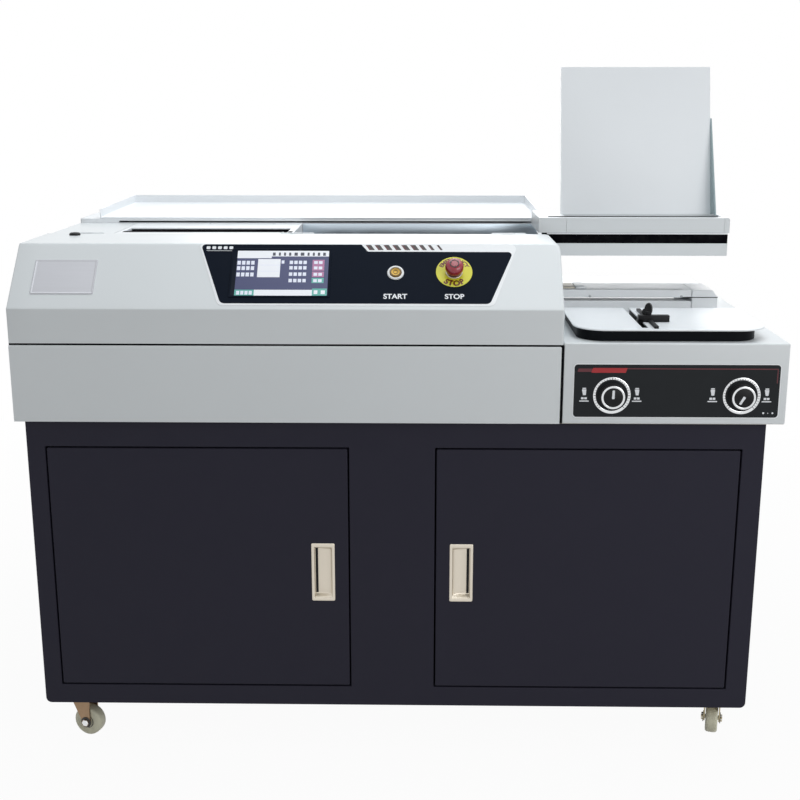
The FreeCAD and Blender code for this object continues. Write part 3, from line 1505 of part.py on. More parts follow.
def power_switch():
    x, y, z = rocker_centre()
    outline = [(y - rocker_back, z - rocker_half_height), (y + rocker_tip, z - rocker_half_height),
               (y + rocker_waist, z), (y + rocker_tip, z + rocker_half_height),
               (y - rocker_back, z + rocker_half_height)]
    rocker = yz_prism(outline, x - rocker_width / 2, x + rocker_width / 2)
    bore = rod_x(x - rocker_width, x + rocker_width, y, z, rocker_pin_radius + running_clearance)
    rocker = cut(rocker, [bore])
    rocker.rotate(Vector(x, y, z), Vector(1, 0, 0), -rocker_tilt)
    return [rocker]


def control_box():
    x1 = cabinet_right_x - control_inset_x
    x0 = x1 - control_width
    wall_y = cabinet_rear_y - cabinet_sheet
    y1 = wall_y - control_foot_height
    y0 = y1 - control_depth
    z0 = cabinet_bottom_z + control_rise
    z1 = z0 + control_height
    case = box(x0, x1, y0, y1, z0, z1)
    lid = box(x0 - control_lid, x1 + control_lid, y0 - control_lid, y0, z0 - control_lid, z1 + control_lid)
    feet = [box(x, x + control_foot, y1, wall_y, z, z + control_foot)
            for x in (x0, x1 - control_foot) for z in (z0, z1 - control_foot)]
    return [fuse([case, lid] + feet)]


def screw_along_y(x, face_y, z, outward):
    if outward < 0:
        return rod_y(face_y - screw_head_height, face_y, x, z, screw_head_radius)
    return rod_y(face_y, face_y + screw_head_height, x, z, screw_head_radius)


def cover_screws():
    screws = []
    x = body_right_x - front_screw_inset
    for rise in (front_screw_low, front_screw_high):
        screws.append(screw_along_y(x, front_y, cabinet_top_z + rise, -1))
    span = body_width - 2 * rear_screw_inset
    for index in range(rear_screw_count):
        place = left_x + rear_screw_inset + span * index / (rear_screw_count - 1)
        for z in (cabinet_top_z + front_screw_low, rear_deck_z - rear_screw_inset):
            screws.append(screw_along_y(place, rear_y, z, 1))
    return screws


os.makedirs("parts", exist_ok=True)
save("cabinet_shell", cabinet_shell())
save("cabinet_front_frame", cabinet_front_frame())
save("left_door", door(True))
save("left_door_pull", door_pull(True))
save("right_door", door(False))
save("right_door_pull", door_pull(False))
save("caster_plates", [caster_plate(x, y) for x, y in caster_places().values()])
for caster, place in caster_places().items():
    save(caster + "_caster_fork", [caster_fork(*place, caster_angles[caster])])
    save(caster + "_caster_wheel", [caster_wheel(*place, caster_angles[caster])])
save("chassis_plate", chassis_plate())
save("lower_front_cover", lower_front_cover())
save("end_covers", left_end_cover() + right_end_wall())
save("rear_cover", rear_cover())
save("rear_deck", rear_deck())
save("rear_tray", rear_tray())
save("hood", hood())
save("hood_hinge_rail", hood_hinge_rail())
save("console_panel", console_panel())
save("touch_screen", touch_screen())
save("start_button", start_button())
save("stop_stem", stop_stem())
save("stop_plunger", stop_plunger())
save("stop_head", stop_head())
save("carriage_frame", carriage_frame())
save("front_jaw", front_jaw())
save("backrest_board", backrest_board())
save("side_stop", side_stop())
save("leveling_table", leveling_table())
save("spine_guide", spine_guide())
save("rail_beam", rail_beam())
save("drive_pulley", pulley(pulley_places()[0], True))
save("idler_pulley", pulley(pulley_places()[1], False))
save("drive_belts", drive_belts())
save("drive_motors", [carriage_motor(), glue_motor(), milling_motor()])
save("platform_frame", platform_frame())
save("front_nip_plate", front_nip_plate())
save("milling_cutter", milling_cutter())
save("glue_tank", glue_tank())
save("first_glue_roller", glue_roller(roller_places()[0], True))
save("second_glue_roller", glue_roller(roller_places()[1], False))
save("creaser_housing", creaser_housing())
save("crease_table_base", crease_table_base())
save("crease_table", crease_table())
save("creaser_bridge", creaser_bridge())
save("crease_blade", crease_blade())
save("creaser_drive_cover", creaser_drive_cover())
save("paper_stop", paper_stop())
save("clamp_knob", clamp_knob())
save("left_panel_knob", panel_knob(*knob_places()[0]))
save("right_panel_knob", panel_knob(*knob_places()[1]))
save("power_inlet", power_inlet())
save("power_switch", power_switch())
save("control_box", control_box())
save("cover_screws", cover_screws())
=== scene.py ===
import json
import math

import bmesh
import bpy
import numpy as np
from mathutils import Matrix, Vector
from mathutils.geometry import tessellate_polygon

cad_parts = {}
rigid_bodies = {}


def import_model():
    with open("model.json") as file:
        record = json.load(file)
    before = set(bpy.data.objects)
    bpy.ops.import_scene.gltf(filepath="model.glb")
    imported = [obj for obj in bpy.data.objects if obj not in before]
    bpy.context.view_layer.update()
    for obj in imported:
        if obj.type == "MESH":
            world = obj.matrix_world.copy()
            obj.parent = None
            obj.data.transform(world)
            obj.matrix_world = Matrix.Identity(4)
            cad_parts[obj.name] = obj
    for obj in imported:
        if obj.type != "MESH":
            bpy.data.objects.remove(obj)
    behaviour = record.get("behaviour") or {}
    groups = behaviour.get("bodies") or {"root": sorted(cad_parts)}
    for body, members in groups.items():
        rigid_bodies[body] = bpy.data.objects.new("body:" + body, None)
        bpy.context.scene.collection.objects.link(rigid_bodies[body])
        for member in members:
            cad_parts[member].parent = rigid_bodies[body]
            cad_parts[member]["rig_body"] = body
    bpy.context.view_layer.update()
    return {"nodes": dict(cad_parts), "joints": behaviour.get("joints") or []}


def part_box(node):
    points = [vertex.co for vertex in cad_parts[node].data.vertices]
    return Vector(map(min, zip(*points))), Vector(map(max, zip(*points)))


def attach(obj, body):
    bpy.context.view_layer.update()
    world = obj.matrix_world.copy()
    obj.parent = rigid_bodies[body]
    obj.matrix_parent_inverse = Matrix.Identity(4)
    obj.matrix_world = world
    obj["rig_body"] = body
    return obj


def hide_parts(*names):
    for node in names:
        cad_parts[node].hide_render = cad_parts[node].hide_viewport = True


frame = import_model()
cadNodes = frame["nodes"]
print("frame loaded with", len(cadNodes), "nodes")


# what the frame says

def boxOf(node):
    low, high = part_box(node)
    return np.array(low), np.array(high)


def jointOf(name):
    return next(joint for joint in frame["joints"] if joint["name"] == name)


def rideOf(nodeName):
    return cadNodes[nodeName]["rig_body"]


# shapes as vertex and face arrays

def fullTurn(count):
    return np.linspace(0, 2 * math.pi, count, endpoint=False)


def axisFrame(axis):
    # the unit axis and two directions square to it
    up = np.asarray(axis, float) / np.linalg.norm(axis)
    side = np.cross(up, [0.0, 0.0, 1.0] if abs(up[2]) < 0.9 else [0.0, 1.0, 0.0])
    side /= np.linalg.norm(side)
    return up, side, np.cross(up, side)


def gridFaces(rows, columns, closed=False):
    # quads between neighbouring rows of a grid, closed round if asked
    across = columns if closed else columns - 1
    r, c = np.meshgrid(np.arange(rows - 1), np.arange(across), indexing="ij")
    n = (c + 1) % columns
    quads = [r * columns + c, r * columns + n, (r + 1) * columns + n, (r + 1) * columns + c]
    return np.stack(quads, -1).reshape(-1, 4).tolist()


def tubeFaces(rows, count, ends="capped"):
    # walls of a tube with its ends capped, left open, or joined to each other as a ring
    faces = gridFaces(rows, count, closed=True)
    last = (rows - 1) * count
    if ends == "capped":
        faces.append(list(range(count))[::-1])
        faces.append([last + i for i in range(count)])
    elif ends == "joined":
        faces += [[last + i, last + (i + 1) % count, (i + 1) % count, i] for i in range(count)]
    return faces


def joined(*shapes):
    verts, faces, base = [], [], 0
    for points, polygons in shapes:
        verts.append(np.asarray(points, float))
        faces += [[i + base for i in polygon] for polygon in polygons]
        base += len(points)
    return np.vstack(verts), faces


def turned(profile, foot, axis, segments=48, ends="capped"):
    # a profile of radius and height carried round an axis: foot + height * axis + radius * (cos, sin)
    p = np.asarray(profile, float)
    up, side, other = axisFrame(axis)
    a = fullTurn(segments)
    ring = np.cos(a)[:, None] * side + np.sin(a)[:, None] * other
    verts = np.asarray(foot, float) + p[:, 0, None, None] * ring[None] + p[:, 1, None, None] * up
    return verts.reshape(-1, 3), tubeFaces(len(p), segments, ends)


def mirrored(half):
    # a profile's lower half and its mirror image above, a point at height 0 only once
    return half + [(radius, -height) for radius, height in half[::-1] if height]


def softBox(low, high, radius, steps=4):
    # a box whose edges are quarter rounds: corner centres plus radius times the unit direction
    low, high = np.asarray(low, float), np.asarray(high, float)
    centre, half = (low + high) / 2, (high - low) / 2
    r = min(radius, *(half * 0.98))
    quarter = np.linspace(0, math.pi / 2, steps + 1)
    turn = (np.arange(4)[:, None] * math.pi / 2 + quarter[None]).reshape(-1)
    signX = np.repeat([1, -1, -1, 1], steps + 1)
    signY = np.repeat([1, 1, -1, -1], steps + 1)
    tilt = np.concatenate([quarter - math.pi / 2, quarter])
    signZ = np.repeat([-1, 1], steps + 1)
    x = signX[None] * (half[0] - r) + r * np.cos(tilt)[:, None] * np.cos(turn)[None]
    y = signY[None] * (half[1] - r) + r * np.cos(tilt)[:, None] * np.sin(turn)[None]
    z = signZ[:, None] * (half[2] - r) + r * np.sin(tilt)[:, None] + 0 * x
    return np.stack([x, y, z], -1).reshape(-1, 3) + centre, tubeFaces(len(tilt), len(turn))


def roundedPath(points, radii, closed, steps=6):
    # straight runs joined by arcs that touch both runs, each arc from its corner's radius
    out = []
    count = len(points)
    for i in range(count):
        p = np.asarray(points[i], float)
        if not closed and i in (0, count - 1) or radii[i] <= 0:
            out.append(p[None])
            continue
        a = np.asarray(points[i - 1], float) - p
        b = np.asarray(points[(i + 1) % count], float) - p
        a /= np.linalg.norm(a)
        b /= np.linalg.norm(b)
        half = math.acos(np.clip(a @ b, -1, 1)) / 2
        centre = p + (a + b) / np.linalg.norm(a + b) * radii[i] / math.sin(half)
        reach = radii[i] / math.tan(half)
        first, last = p + a * reach - centre, p + b * reach - centre
        t = np.linspace(0, 1, steps + 1)[:, None]
        sweep = math.pi - 2 * half
        out.append(centre + (np.sin((1 - t) * sweep) * first + np.sin(t * sweep) * last) / math.sin(sweep))
    return np.vstack(out)


def roundedRect(x0, x1, y0, y1, radius, steps=6):
    return roundedPath([(x0, y0), (x1, y0), (x1, y1), (x0, y1)], [radius] * 4, True, steps)


def insetRows(rect, rows, radius, least, steps=6, ends="capped"):
    # a rounded rectangle drawn inwards row by row, each row an inset and a height
    x0, x1, y0, y1 = rect
    loops = [roundedRect(x0 + i, x1 - i, y0 + i, y1 - i, max(radius - i, least), steps) for i, _ in rows]
    count = len(loops[0])
    heights = np.repeat([height for _, height in rows], count)
    return np.c_[np.vstack(loops), heights], tubeFaces(len(rows), count, ends)


def circle(x, y, radius, count=48):
    a = fullTurn(count)
    return np.c_[x + radius * np.cos(a), y + radius * np.sin(a)]


def plateShape(outline, low, high, holes=()):
    # an outline with holes, filled at two heights and walled between them
    loops = [np.asarray(outline)] + [np.asarray(h) for h in holes]
    flat = np.vstack(loops)
    count = len(flat)
    triangles = tessellate_polygon([[Vector((x, y, 0)) for x, y in loop] for loop in loops])
    verts = np.vstack([np.c_[flat, np.full(count, low)], np.c_[flat, np.full(count, high)]])
    faces = [list(t) for t in triangles] + [[i + count for i in t[::-1]] for t in triangles]
    base = 0
    for loop in loops:
        i = np.arange(len(loop))
        n = (i + 1) % len(loop)
        faces += np.stack([base + i, base + n, base + n + count, base + i + count], -1).tolist()
        base += len(loop)
    return verts, faces


def washer(x, y, outer, inner, low, high, counts=(48, 48)):
    return plateShape(circle(x, y, outer, counts[0]), low, high, [circle(x, y, inner, counts[1])[::-1]])


def bar(x0, x1, y0, y1, low, high, radius=0.0004, lean=0.0):
    # a small printed bar, its far edge moved sideways by lean
    points = [(x0, y0), (x1, y0), (x1 + lean, y1), (x0 + lean, y1)]
    return plateShape(roundedPath(points, [radius] * 4, True, 2), low, high)


inkDepth = 0.0001


def inkSpan(level, rise=inkDepth):
    # heights of a printed mark, sunk a little into the surface it lies on
    return level - inkDepth, level + rise


def sheetLoop(points, radii, thickness, steps=5):
    # a bent sheet's section: its outer line and the same line moved in by the thickness
    outer = roundedPath(points, radii, False, steps)
    run = np.gradient(outer, axis=0)
    normal = np.stack([run[:, 1], -run[:, 0]], -1)
    normal /= np.linalg.norm(normal, axis=1)[:, None]
    return np.vstack([outer, (outer - normal * thickness)[::-1]])


def extruded(section, axis, ends):
    # a closed section on the other two axes, carried along one axis between two ends
    rings = np.asarray([np.insert(section, axis, end, axis=1) for end in ends])
    return rings.reshape(-1, 3), tubeFaces(len(rings), len(section))


def thickened(grid, offset):
    # a grid of points and its copy moved by offset, joined round the edge
    rows, columns = grid.shape[:2]
    count = rows * columns
    flat = grid.reshape(-1, 3)
    quads = gridFaces(rows, columns)
    index = np.arange(count).reshape(rows, columns)
    edge = np.concatenate([index[0, :-1], index[:-1, -1], index[-1, :0:-1], index[:0:-1, 0]])
    follow = np.roll(edge, -1)
    faces = quads + [[i + count for i in q[::-1]] for q in quads]
    faces += np.stack([edge, follow, follow + count, edge + count], -1).tolist()
    return np.vstack([flat, flat + np.asarray(offset)]), faces


# meshes and objects

def linked(name, data):
    obj = bpy.data.objects.new(name, data)
    bpy.context.scene.collection.objects.link(obj)
    return obj


def cleaned(mesh, gap=1e-6):
    # doubles merged and normals turned outwards
    work = bmesh.new()
    work.from_mesh(mesh)
    bmesh.ops.remove_doubles(work, verts=work.verts, dist=gap)
    bmesh.ops.recalc_face_normals(work, faces=work.faces)
    work.to_mesh(mesh)
    work.free()
    return mesh


def meshOf(name, shape, gap=1e-6):
    mesh = bpy.data.meshes.new(name)
    mesh.from_pydata(np.asarray(shape[0]).tolist(), [], shape[1])
    return cleaned(mesh, gap)


def dress(obj, material, body, replaces=(), smooth=40, bevel=0.0):
    mesh = obj.data
    mesh.materials.clear()
    mesh.materials.append(material)
    mesh.polygons.foreach_set("use_smooth", np.ones(len(mesh.polygons), bool))
    mesh.set_sharp_from_angle(angle=math.radians(smooth))
    if bevel:
        softening = obj.modifiers.new("softEdges", "BEVEL")
        softening.width = bevel
        softening.segments = 3
        softening.limit_method = "ANGLE"
        softening.angle_limit = math.radians(30)
        softening.harden_normals = True
    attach(obj, body)
    if replaces:
        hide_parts(*replaces)
    return obj


def addPiece(name, shape, material, body, replaces=(), smooth=40, bevel=0.0):
    return dress(linked(name, meshOf(name, shape)), material, body, replaces, smooth, bevel)


def evaluated(obj):
    bpy.context.view_layer.update()
    return bpy.data.meshes.new_from_object(obj.evaluated_get(bpy.context.evaluated_depsgraph_get()))


def applied(obj):
    # the mesh with its modifiers worked in
    mesh = evaluated(obj)
    obj.modifiers.clear()
    obj.data = mesh


def softened(node, material, width):
    # a copy of a solid with its doubles merged, its flat faces joined and its edges rounded
    mesh = cadNodes[node].data.copy()
    work = bmesh.new()
    work.from_mesh(mesh)
    bmesh.ops.remove_doubles(work, verts=work.verts, dist=1e-6)
    bmesh.ops.dissolve_limit(work, angle_limit=math.radians(1), verts=work.verts, edges=work.edges)
    work.to_mesh(mesh)
    work.free()
    dress(linked(node + "Soft", mesh), material, rideOf(node), [node], bevel=width)


# shader groups

def newGroup(name, inputs):
    # a finish: it takes object coordinates and settings, and gives colour, roughness and height
    tree = bpy.data.node_groups.new(name, "ShaderNodeTree")
    for label, kind, value in [("Vector", "Vector", None), *inputs]:
        socket = tree.interface.new_socket(name=label, in_out="INPUT", socket_type="NodeSocket" + kind)
        if value is not None:
            socket.default_value = value
    for label, kind in (("Colour", "Color"), ("Roughness", "Float"), ("Height", "Float")):
        tree.interface.new_socket(name=label, in_out="OUTPUT", socket_type="NodeSocket" + kind)
    return tree, tree.nodes.new("NodeGroupInput").outputs


def closeGroup(tree, **results):
    out = tree.nodes.new("NodeGroupOutput")
    for label, made in results.items():
        tree.links.new(made, out.inputs[label])
    return tree


def node(tree, kind, settings=None, **sockets):
    # a shader node; a socket is named by its label or as i and its number
    made = tree.nodes.new("ShaderNode" + kind)
    for key, value in (settings or {}).items():
        setattr(made, key, value)
    for key, value in sockets.items():
        target = made.inputs[int(key[1:])] if key[0] == "i" and key[1:].isdigit() else made.inputs[key]
        if isinstance(value, bpy.types.NodeSocket):
            tree.links.new(value, target)
        else:
            target.default_value = value
    return made


def sums(tree, operation, *values):
    terms = {f"i{k}": value for k, value in enumerate(values)}
    return node(tree, "Math", {"operation": operation}, **terms).outputs[0]


def shaded(tree, colour, centred, amount):
    # the colour times 1 + centred noise * amount
    factor = sums(tree, "MULTIPLY_ADD", centred, amount, 1.0)
    return node(tree, "VectorMath", {"operation": "SCALE"}, i0=colour, Scale=factor).outputs[0]


def paintGroup():
    # sprayed powder: fine orange peel in height, slow drift and faint smudges in colour and roughness
    tree, src = newGroup("sprayedFinish", [
        ("Colour", "Color", (0.8, 0.8, 0.8, 1)), ("Grain", "Float", 900.0), ("Drift", "Float", 0.04),
        ("Roughness", "Float", 0.4)])
    peel = node(tree, "TexNoise", Vector=src["Vector"], Scale=src["Grain"], Detail=2.0)
    slow = node(tree, "TexNoise", Vector=src["Vector"], Scale=5.0, Detail=4.0)
    smudge = node(tree, "TexNoise", Vector=src["Vector"], Scale=22.0, Detail=6.0, Roughness=0.65)
    shade = shaded(tree, src["Colour"], sums(tree, "SUBTRACT", slow.outputs["Fac"], 0.5), src["Drift"])
    rough = node(tree, "MapRange", Value=smudge.outputs["Fac"], i1=0.3, i2=0.7, i3=-0.05, i4=0.07)
    total = sums(tree, "ADD", rough.outputs[0], src["Roughness"])
    return closeGroup(tree, Colour=shade, Roughness=total, Height=peel.outputs["Fac"])


def brushGroup():
    # drawn metal: noise stretched along one axis, with light and dark streaks
    tree, src = newGroup("drawnMetal", [
        ("Colour", "Color", (0.6, 0.6, 0.6, 1)), ("Stretch", "Vector", (4.0, 900.0, 900.0)),
        ("Contrast", "Float", 0.25), ("Roughness", "Float", 0.3)])
    spread = node(tree, "VectorMath", {"operation": "MULTIPLY"}, i0=src["Vector"], i1=src["Stretch"])
    streaks = node(tree, "TexNoise", Vector=spread.outputs[0], Scale=1.0, Detail=5.0, Roughness=0.7)
    lines = streaks.outputs["Fac"]
    centred = sums(tree, "SUBTRACT", lines, 0.5)
    shade = shaded(tree, src["Colour"], centred, src["Contrast"])
    rough = sums(tree, "MULTIPLY_ADD", centred, 0.35, src["Roughness"])
    return closeGroup(tree, Colour=shade, Roughness=rough, Height=lines)


def mouldedGroup():
    # moulded plastic or rubber: a leathery cell pattern in height with dust in patches
    tree, src = newGroup("mouldedGrain", [
        ("Colour", "Color", (0.05, 0.05, 0.05, 1)), ("Dust", "Color", (0.3, 0.3, 0.3, 1)),
        ("Grain", "Float", 1600.0), ("DustAmount", "Float", 0.04), ("Roughness", "Float", 0.45)])
    cells = node(tree, "TexVoronoi", Vector=src["Vector"], Scale=src["Grain"])
    patch = node(tree, "TexNoise", Vector=src["Vector"], Scale=40.0, Detail=6.0, Roughness=0.7)
    mask = node(tree, "MapRange", Value=patch.outputs["Fac"], i1=0.45, i2=0.75, i3=0.0, i4=1.0).outputs[0]
    share = sums(tree, "MULTIPLY", mask, src["DustAmount"])
    mixed = node(tree, "Mix", {"data_type": "RGBA"}, i0=share, i6=src["Colour"], i7=src["Dust"])
    rough = sums(tree, "MULTIPLY_ADD", mask, 0.12, src["Roughness"])
    return closeGroup(tree, Colour=mixed.outputs[2], Roughness=rough, Height=cells.outputs["Distance"])


groups = {"paint": paintGroup(), "brush": brushGroup(), "moulded": mouldedGroup()}


def srgb(r, g, b):
    c = np.array([r, g, b]) / 255
    linear = np.where(c <= 0.04045, c / 12.92, ((c + 0.055) / 1.055) ** 2.4)
    return (*linear.tolist(), 1.0)


def finish(name, group, colour, bump=0.1, bumpSize=0.0002, shader=None, **values):
    # one shader fed by a finish group, with its grain as bump; colours are given as screen values
    material = bpy.data.materials.new(name)
    material.use_nodes = True
    tree = material.node_tree
    surface = tree.nodes["Principled BSDF"].inputs
    made = tree.nodes.new("ShaderNodeGroup")
    made.node_tree = groups[group]
    tree.links.new(node(tree, "TexCoord").outputs["Object"], made.inputs["Vector"])
    made.inputs["Colour"].default_value = srgb(*colour)
    for key, value in values.items():
        made.inputs[key].default_value = srgb(*value) if key == "Dust" else value
    grain = node(tree, "Bump", Strength=bump, Distance=bumpSize, Height=made.outputs["Height"])
    tree.links.new(made.outputs["Colour"], surface["Base Color"])
    tree.links.new(made.outputs["Roughness"], surface["Roughness"])
    tree.links.new(grain.outputs["Normal"], surface["Normal"])
    for key, value in (shader or {}).items():
        surface[key].default_value = value
    return material


def drawnMetal(name, colour, bump, metallic, roughness, stretch, contrast):
    return finish(name, "brush", colour, bump, shader={"Metallic": metallic}, Roughness=roughness,
                  Stretch=stretch, Contrast=contrast)


def plainInk(name, colour, roughness=0.35, glow=0.0):
    # printed ink, painted shade rings or a lit patch with a faint screen-print mottle
    lit = {"Emission Color": srgb(*colour), "Emission Strength": glow} if glow else None
    return finish(name, "moulded", colour, 0.03, 0.00005, lit, Dust=colour, Grain=3000.0, DustAmount=0.0,
                  Roughness=roughness)


def sheen(level):
    return {"Specular IOR Level": level}


coat = {"Coat Weight": 0.25, "Coat Roughness": 0.2}
paints = {
    "housing": finish("housingPaint", "paint", (223, 227, 229), 0.12, shader=coat, Roughness=0.38),
    "white": finish("whitePaint", "paint", (240, 243, 246), 0.1, shader=coat, Roughness=0.36),
    "cabinet": finish("cabinetPaint", "paint", (39, 38, 50), 0.35, 0.0003, sheen(0.15), Grain=1400.0,
                      Drift=0.05, Roughness=0.5),
    "black": finish("blackPaint", "paint", (9, 12, 17), 0.2, shader=sheen(0.06), Grain=1400.0, Drift=0.1,
                    Roughness=0.42),
    "motor": finish("motorPaint", "paint", (62, 66, 74), 0.2, Roughness=0.45),
    # the gusset paint is the housing paint darkened and cooled: painted shade for the side stop
    "green": finish("gussetShadePaint", "paint", (150, 168, 172), 0.2, Roughness=0.5),
}
# name, colour, bump, metallic, roughness, stretch, contrast
metalRows = {
    "zinc": ("zincPlate", (184, 178, 166), 0.1, 1.0, 0.38, (90.0, 90.0, 90.0), 0.3),
    "warmZinc": ("yellowZinc", (146, 122, 98), 0.1, 1.0, 0.42, (60.0, 60.0, 60.0), 0.6),
    # a paler copy of the yellow zinc: painted light for the lit front-right fork
    "litPaleZinc": ("litPaleZinc", (176, 166, 138), 0.1, 1.0, 0.4, (60.0, 60.0, 60.0), 0.5),
    "champagne": ("champagneNickel", (212, 204, 190), 0.05, 0.9, 0.42, (900.0, 900.0, 6.0), 0.12),
    "steel": ("groundSteel", (186, 190, 194), 0.08, 1.0, 0.3, (6.0, 700.0, 700.0), 0.2),
    "aluminium": ("machinedAluminium", (208, 212, 216), 0.08, 0.85, 0.36, (5.0, 600.0, 600.0), 0.12),
    # litFacing: aluminium made lighter and bluer, painted light for the shaded channel wall
    "litFacing": ("litFacingMetal", (206, 218, 228), 0.06, 0.9, 0.34, (4.0, 500.0, 500.0), 0.14),
    "plate": ("brushedPlate", (178, 179, 184), 0.1, 0.7, 0.46, (10.0, 1400.0, 1400.0), 0.3),
    "chrome": ("chromedRing", (222, 224, 226), 0.02, 1.0, 0.14, (300.0, 300.0, 300.0), 0.06),
    "brass": ("brassCap", (166, 132, 56), 0.05, 0.6, 0.36, (200.0, 200.0, 200.0), 0.3),
}
metals = {key: drawnMetal(*row) for key, row in metalRows.items()}
plastics = {
    "black": finish("blackPlastic", "moulded", (12, 12, 15), 0.12, 0.0001, sheen(0.2), Roughness=0.4),
    "film": finish("darkFilm", "moulded", (17, 24, 36), 0.04, 0.00004, sheen(0.03), Dust=(60, 66, 78),
                   Grain=2600.0, DustAmount=0.03, Roughness=0.34),
    "creaseFilm": finish("charcoalFilm", "moulded", (30, 33, 36), 0.04, 0.00004, sheen(0.15),
                         Dust=(70, 74, 80), Grain=2600.0, DustAmount=0.03, Roughness=0.36),
    "rim": finish("filmRim", "moulded", (244, 246, 248), 0.03, 0.00004, Dust=(214, 216, 220), Grain=2600.0,
                  DustAmount=0.05, Roughness=0.35),
    "red": finish("redMoulding", "moulded", (158, 28, 50), 0.02, 0.00005,
                  {"Coat Weight": 0.5, "Coat Roughness": 0.1}, Dust=(216, 120, 130), DustAmount=0.02,
                  Roughness=0.24),
    "yellow": finish("yellowDisc", "moulded", (218, 214, 44), 0.03, 0.00005, Dust=(236, 232, 150),
                     DustAmount=0.03, Roughness=0.35),
    # very dark black rubber, for the belts and also for the strips that stand for painted shade in gaps
    "rubber": finish("blackRubberAndShade", "moulded", (6, 6, 10), 0.25, shader=sheen(0.02), Grain=1200.0,
                     Roughness=0.65),
    "tread": finish("creamWheel", "moulded", (232, 229, 204), 0.1, 0.0001, Dust=(120, 112, 96),
                    DustAmount=0.3, Roughness=0.42),
    "hub": finish("darkHub", "moulded", (34, 32, 32), 0.15, 0.0001, Dust=(130, 124, 112), DustAmount=0.2,
                  Roughness=0.45),
}
# name, colour, and for the lit page roughness and glow
inkRows = {
    "white": ("whiteInk", (240, 242, 246)), "red": ("redInk", (172, 36, 42)),
    "darkRed": ("darkRedInk", (74, 6, 16)), "thinRed": ("thinRedInk", (92, 30, 40)),
    "black": ("blackInk", (24, 9, 12)), "brown": ("brownInkAndShade", (104, 30, 14)),
    "olive": ("oliveCapShade", (104, 82, 30)), "screen": ("screenBlue", (50, 56, 100), 0.3, 0.1),
    "screenWhite": ("screenWhite", (238, 240, 246), 0.3, 0.12),
    "screenPink": ("screenPink", (168, 108, 148), 0.3, 0.15),
    "screenTeal": ("screenTeal", (88, 168, 158), 0.3, 0.15),
    "screenText": ("screenText", (226, 230, 244), 0.3, 0.12),
    "screenDark": ("screenDark", (46, 50, 66), 0.3, 0.1),
}
inks = {key: plainInk(*row) for key, row in inkRows.items()}
print("finishes made")

cadFinish = {
    "chassis_plate": metals["zinc"], "end_covers": paints["housing"], "rear_cover": paints["housing"],
    "hood_hinge_rail": paints["housing"], "stop_stem": plastics["black"], "stop_plunger": metals["steel"],
    "drive_belts": plastics["rubber"], "drive_motors": paints["motor"], "milling_cutter": metals["steel"],
    "crease_blade": metals["steel"],
}
for nodeName, cadObject in cadNodes.items():
    cadObject.data.materials.clear()
    cadObject.data.materials.append(cadFinish.get(nodeName, paints["white"]))


# console cover: a bent sheet with a cut corner, a slanted face and windows for the controls

consoleFace = {"slantFoot": 0.792, "slantRise": 0.096, "slantDepth": 0.090, "sheet": 0.0015}
consoleTop = consoleFace["slantFoot"] + consoleFace["slantRise"]
slantAngle = math.atan2(consoleFace["slantRise"], consoleFace["slantDepth"])
slantNormal = np.array([0.0, -math.sin(slantAngle), math.cos(slantAngle)])
hoodLow, hoodHigh = boxOf("hood")
frontY = hoodLow[1]
bodyRight = boxOf("lower_front_cover")[1][0]


def onSlant(points):
    # x, distance up the slope and height off the face, turned onto the slanted face
    p = np.asarray(points, float)
    c, s = math.cos(slantAngle), math.sin(slantAngle)
    y, z = p[:, 1] * c - p[:, 2] * s, p[:, 1] * s + p[:, 2] * c
    return np.c_[p[:, 0], frontY + y, consoleFace["slantFoot"] + z]


def slantShape(shape):
    return onSlant(shape[0]), shape[1]


def slantFoot(control):
    return onSlant([(control["x"], control["rise"], 0.0)])[0]


def onConsole(name, shapes, material, replaces=(), body="hood"):
    # a piece drawn flat and laid on the slanted face
    addPiece(name, slantShape(joined(*shapes)), material, body, replaces)


hoodSize = {"bendLow": 0.004, "bendHigh": 0.005, "rolledEnd": 0.003, "cornerCut": 0.005,
            "cutSoftness": 0.003, "depth": 0.2445, "footLift": 0.0018, "spacing": 0.006, "fineEnd": 0.034,
            "middle": (0.12, 0.80), "cutReach": 0.02}


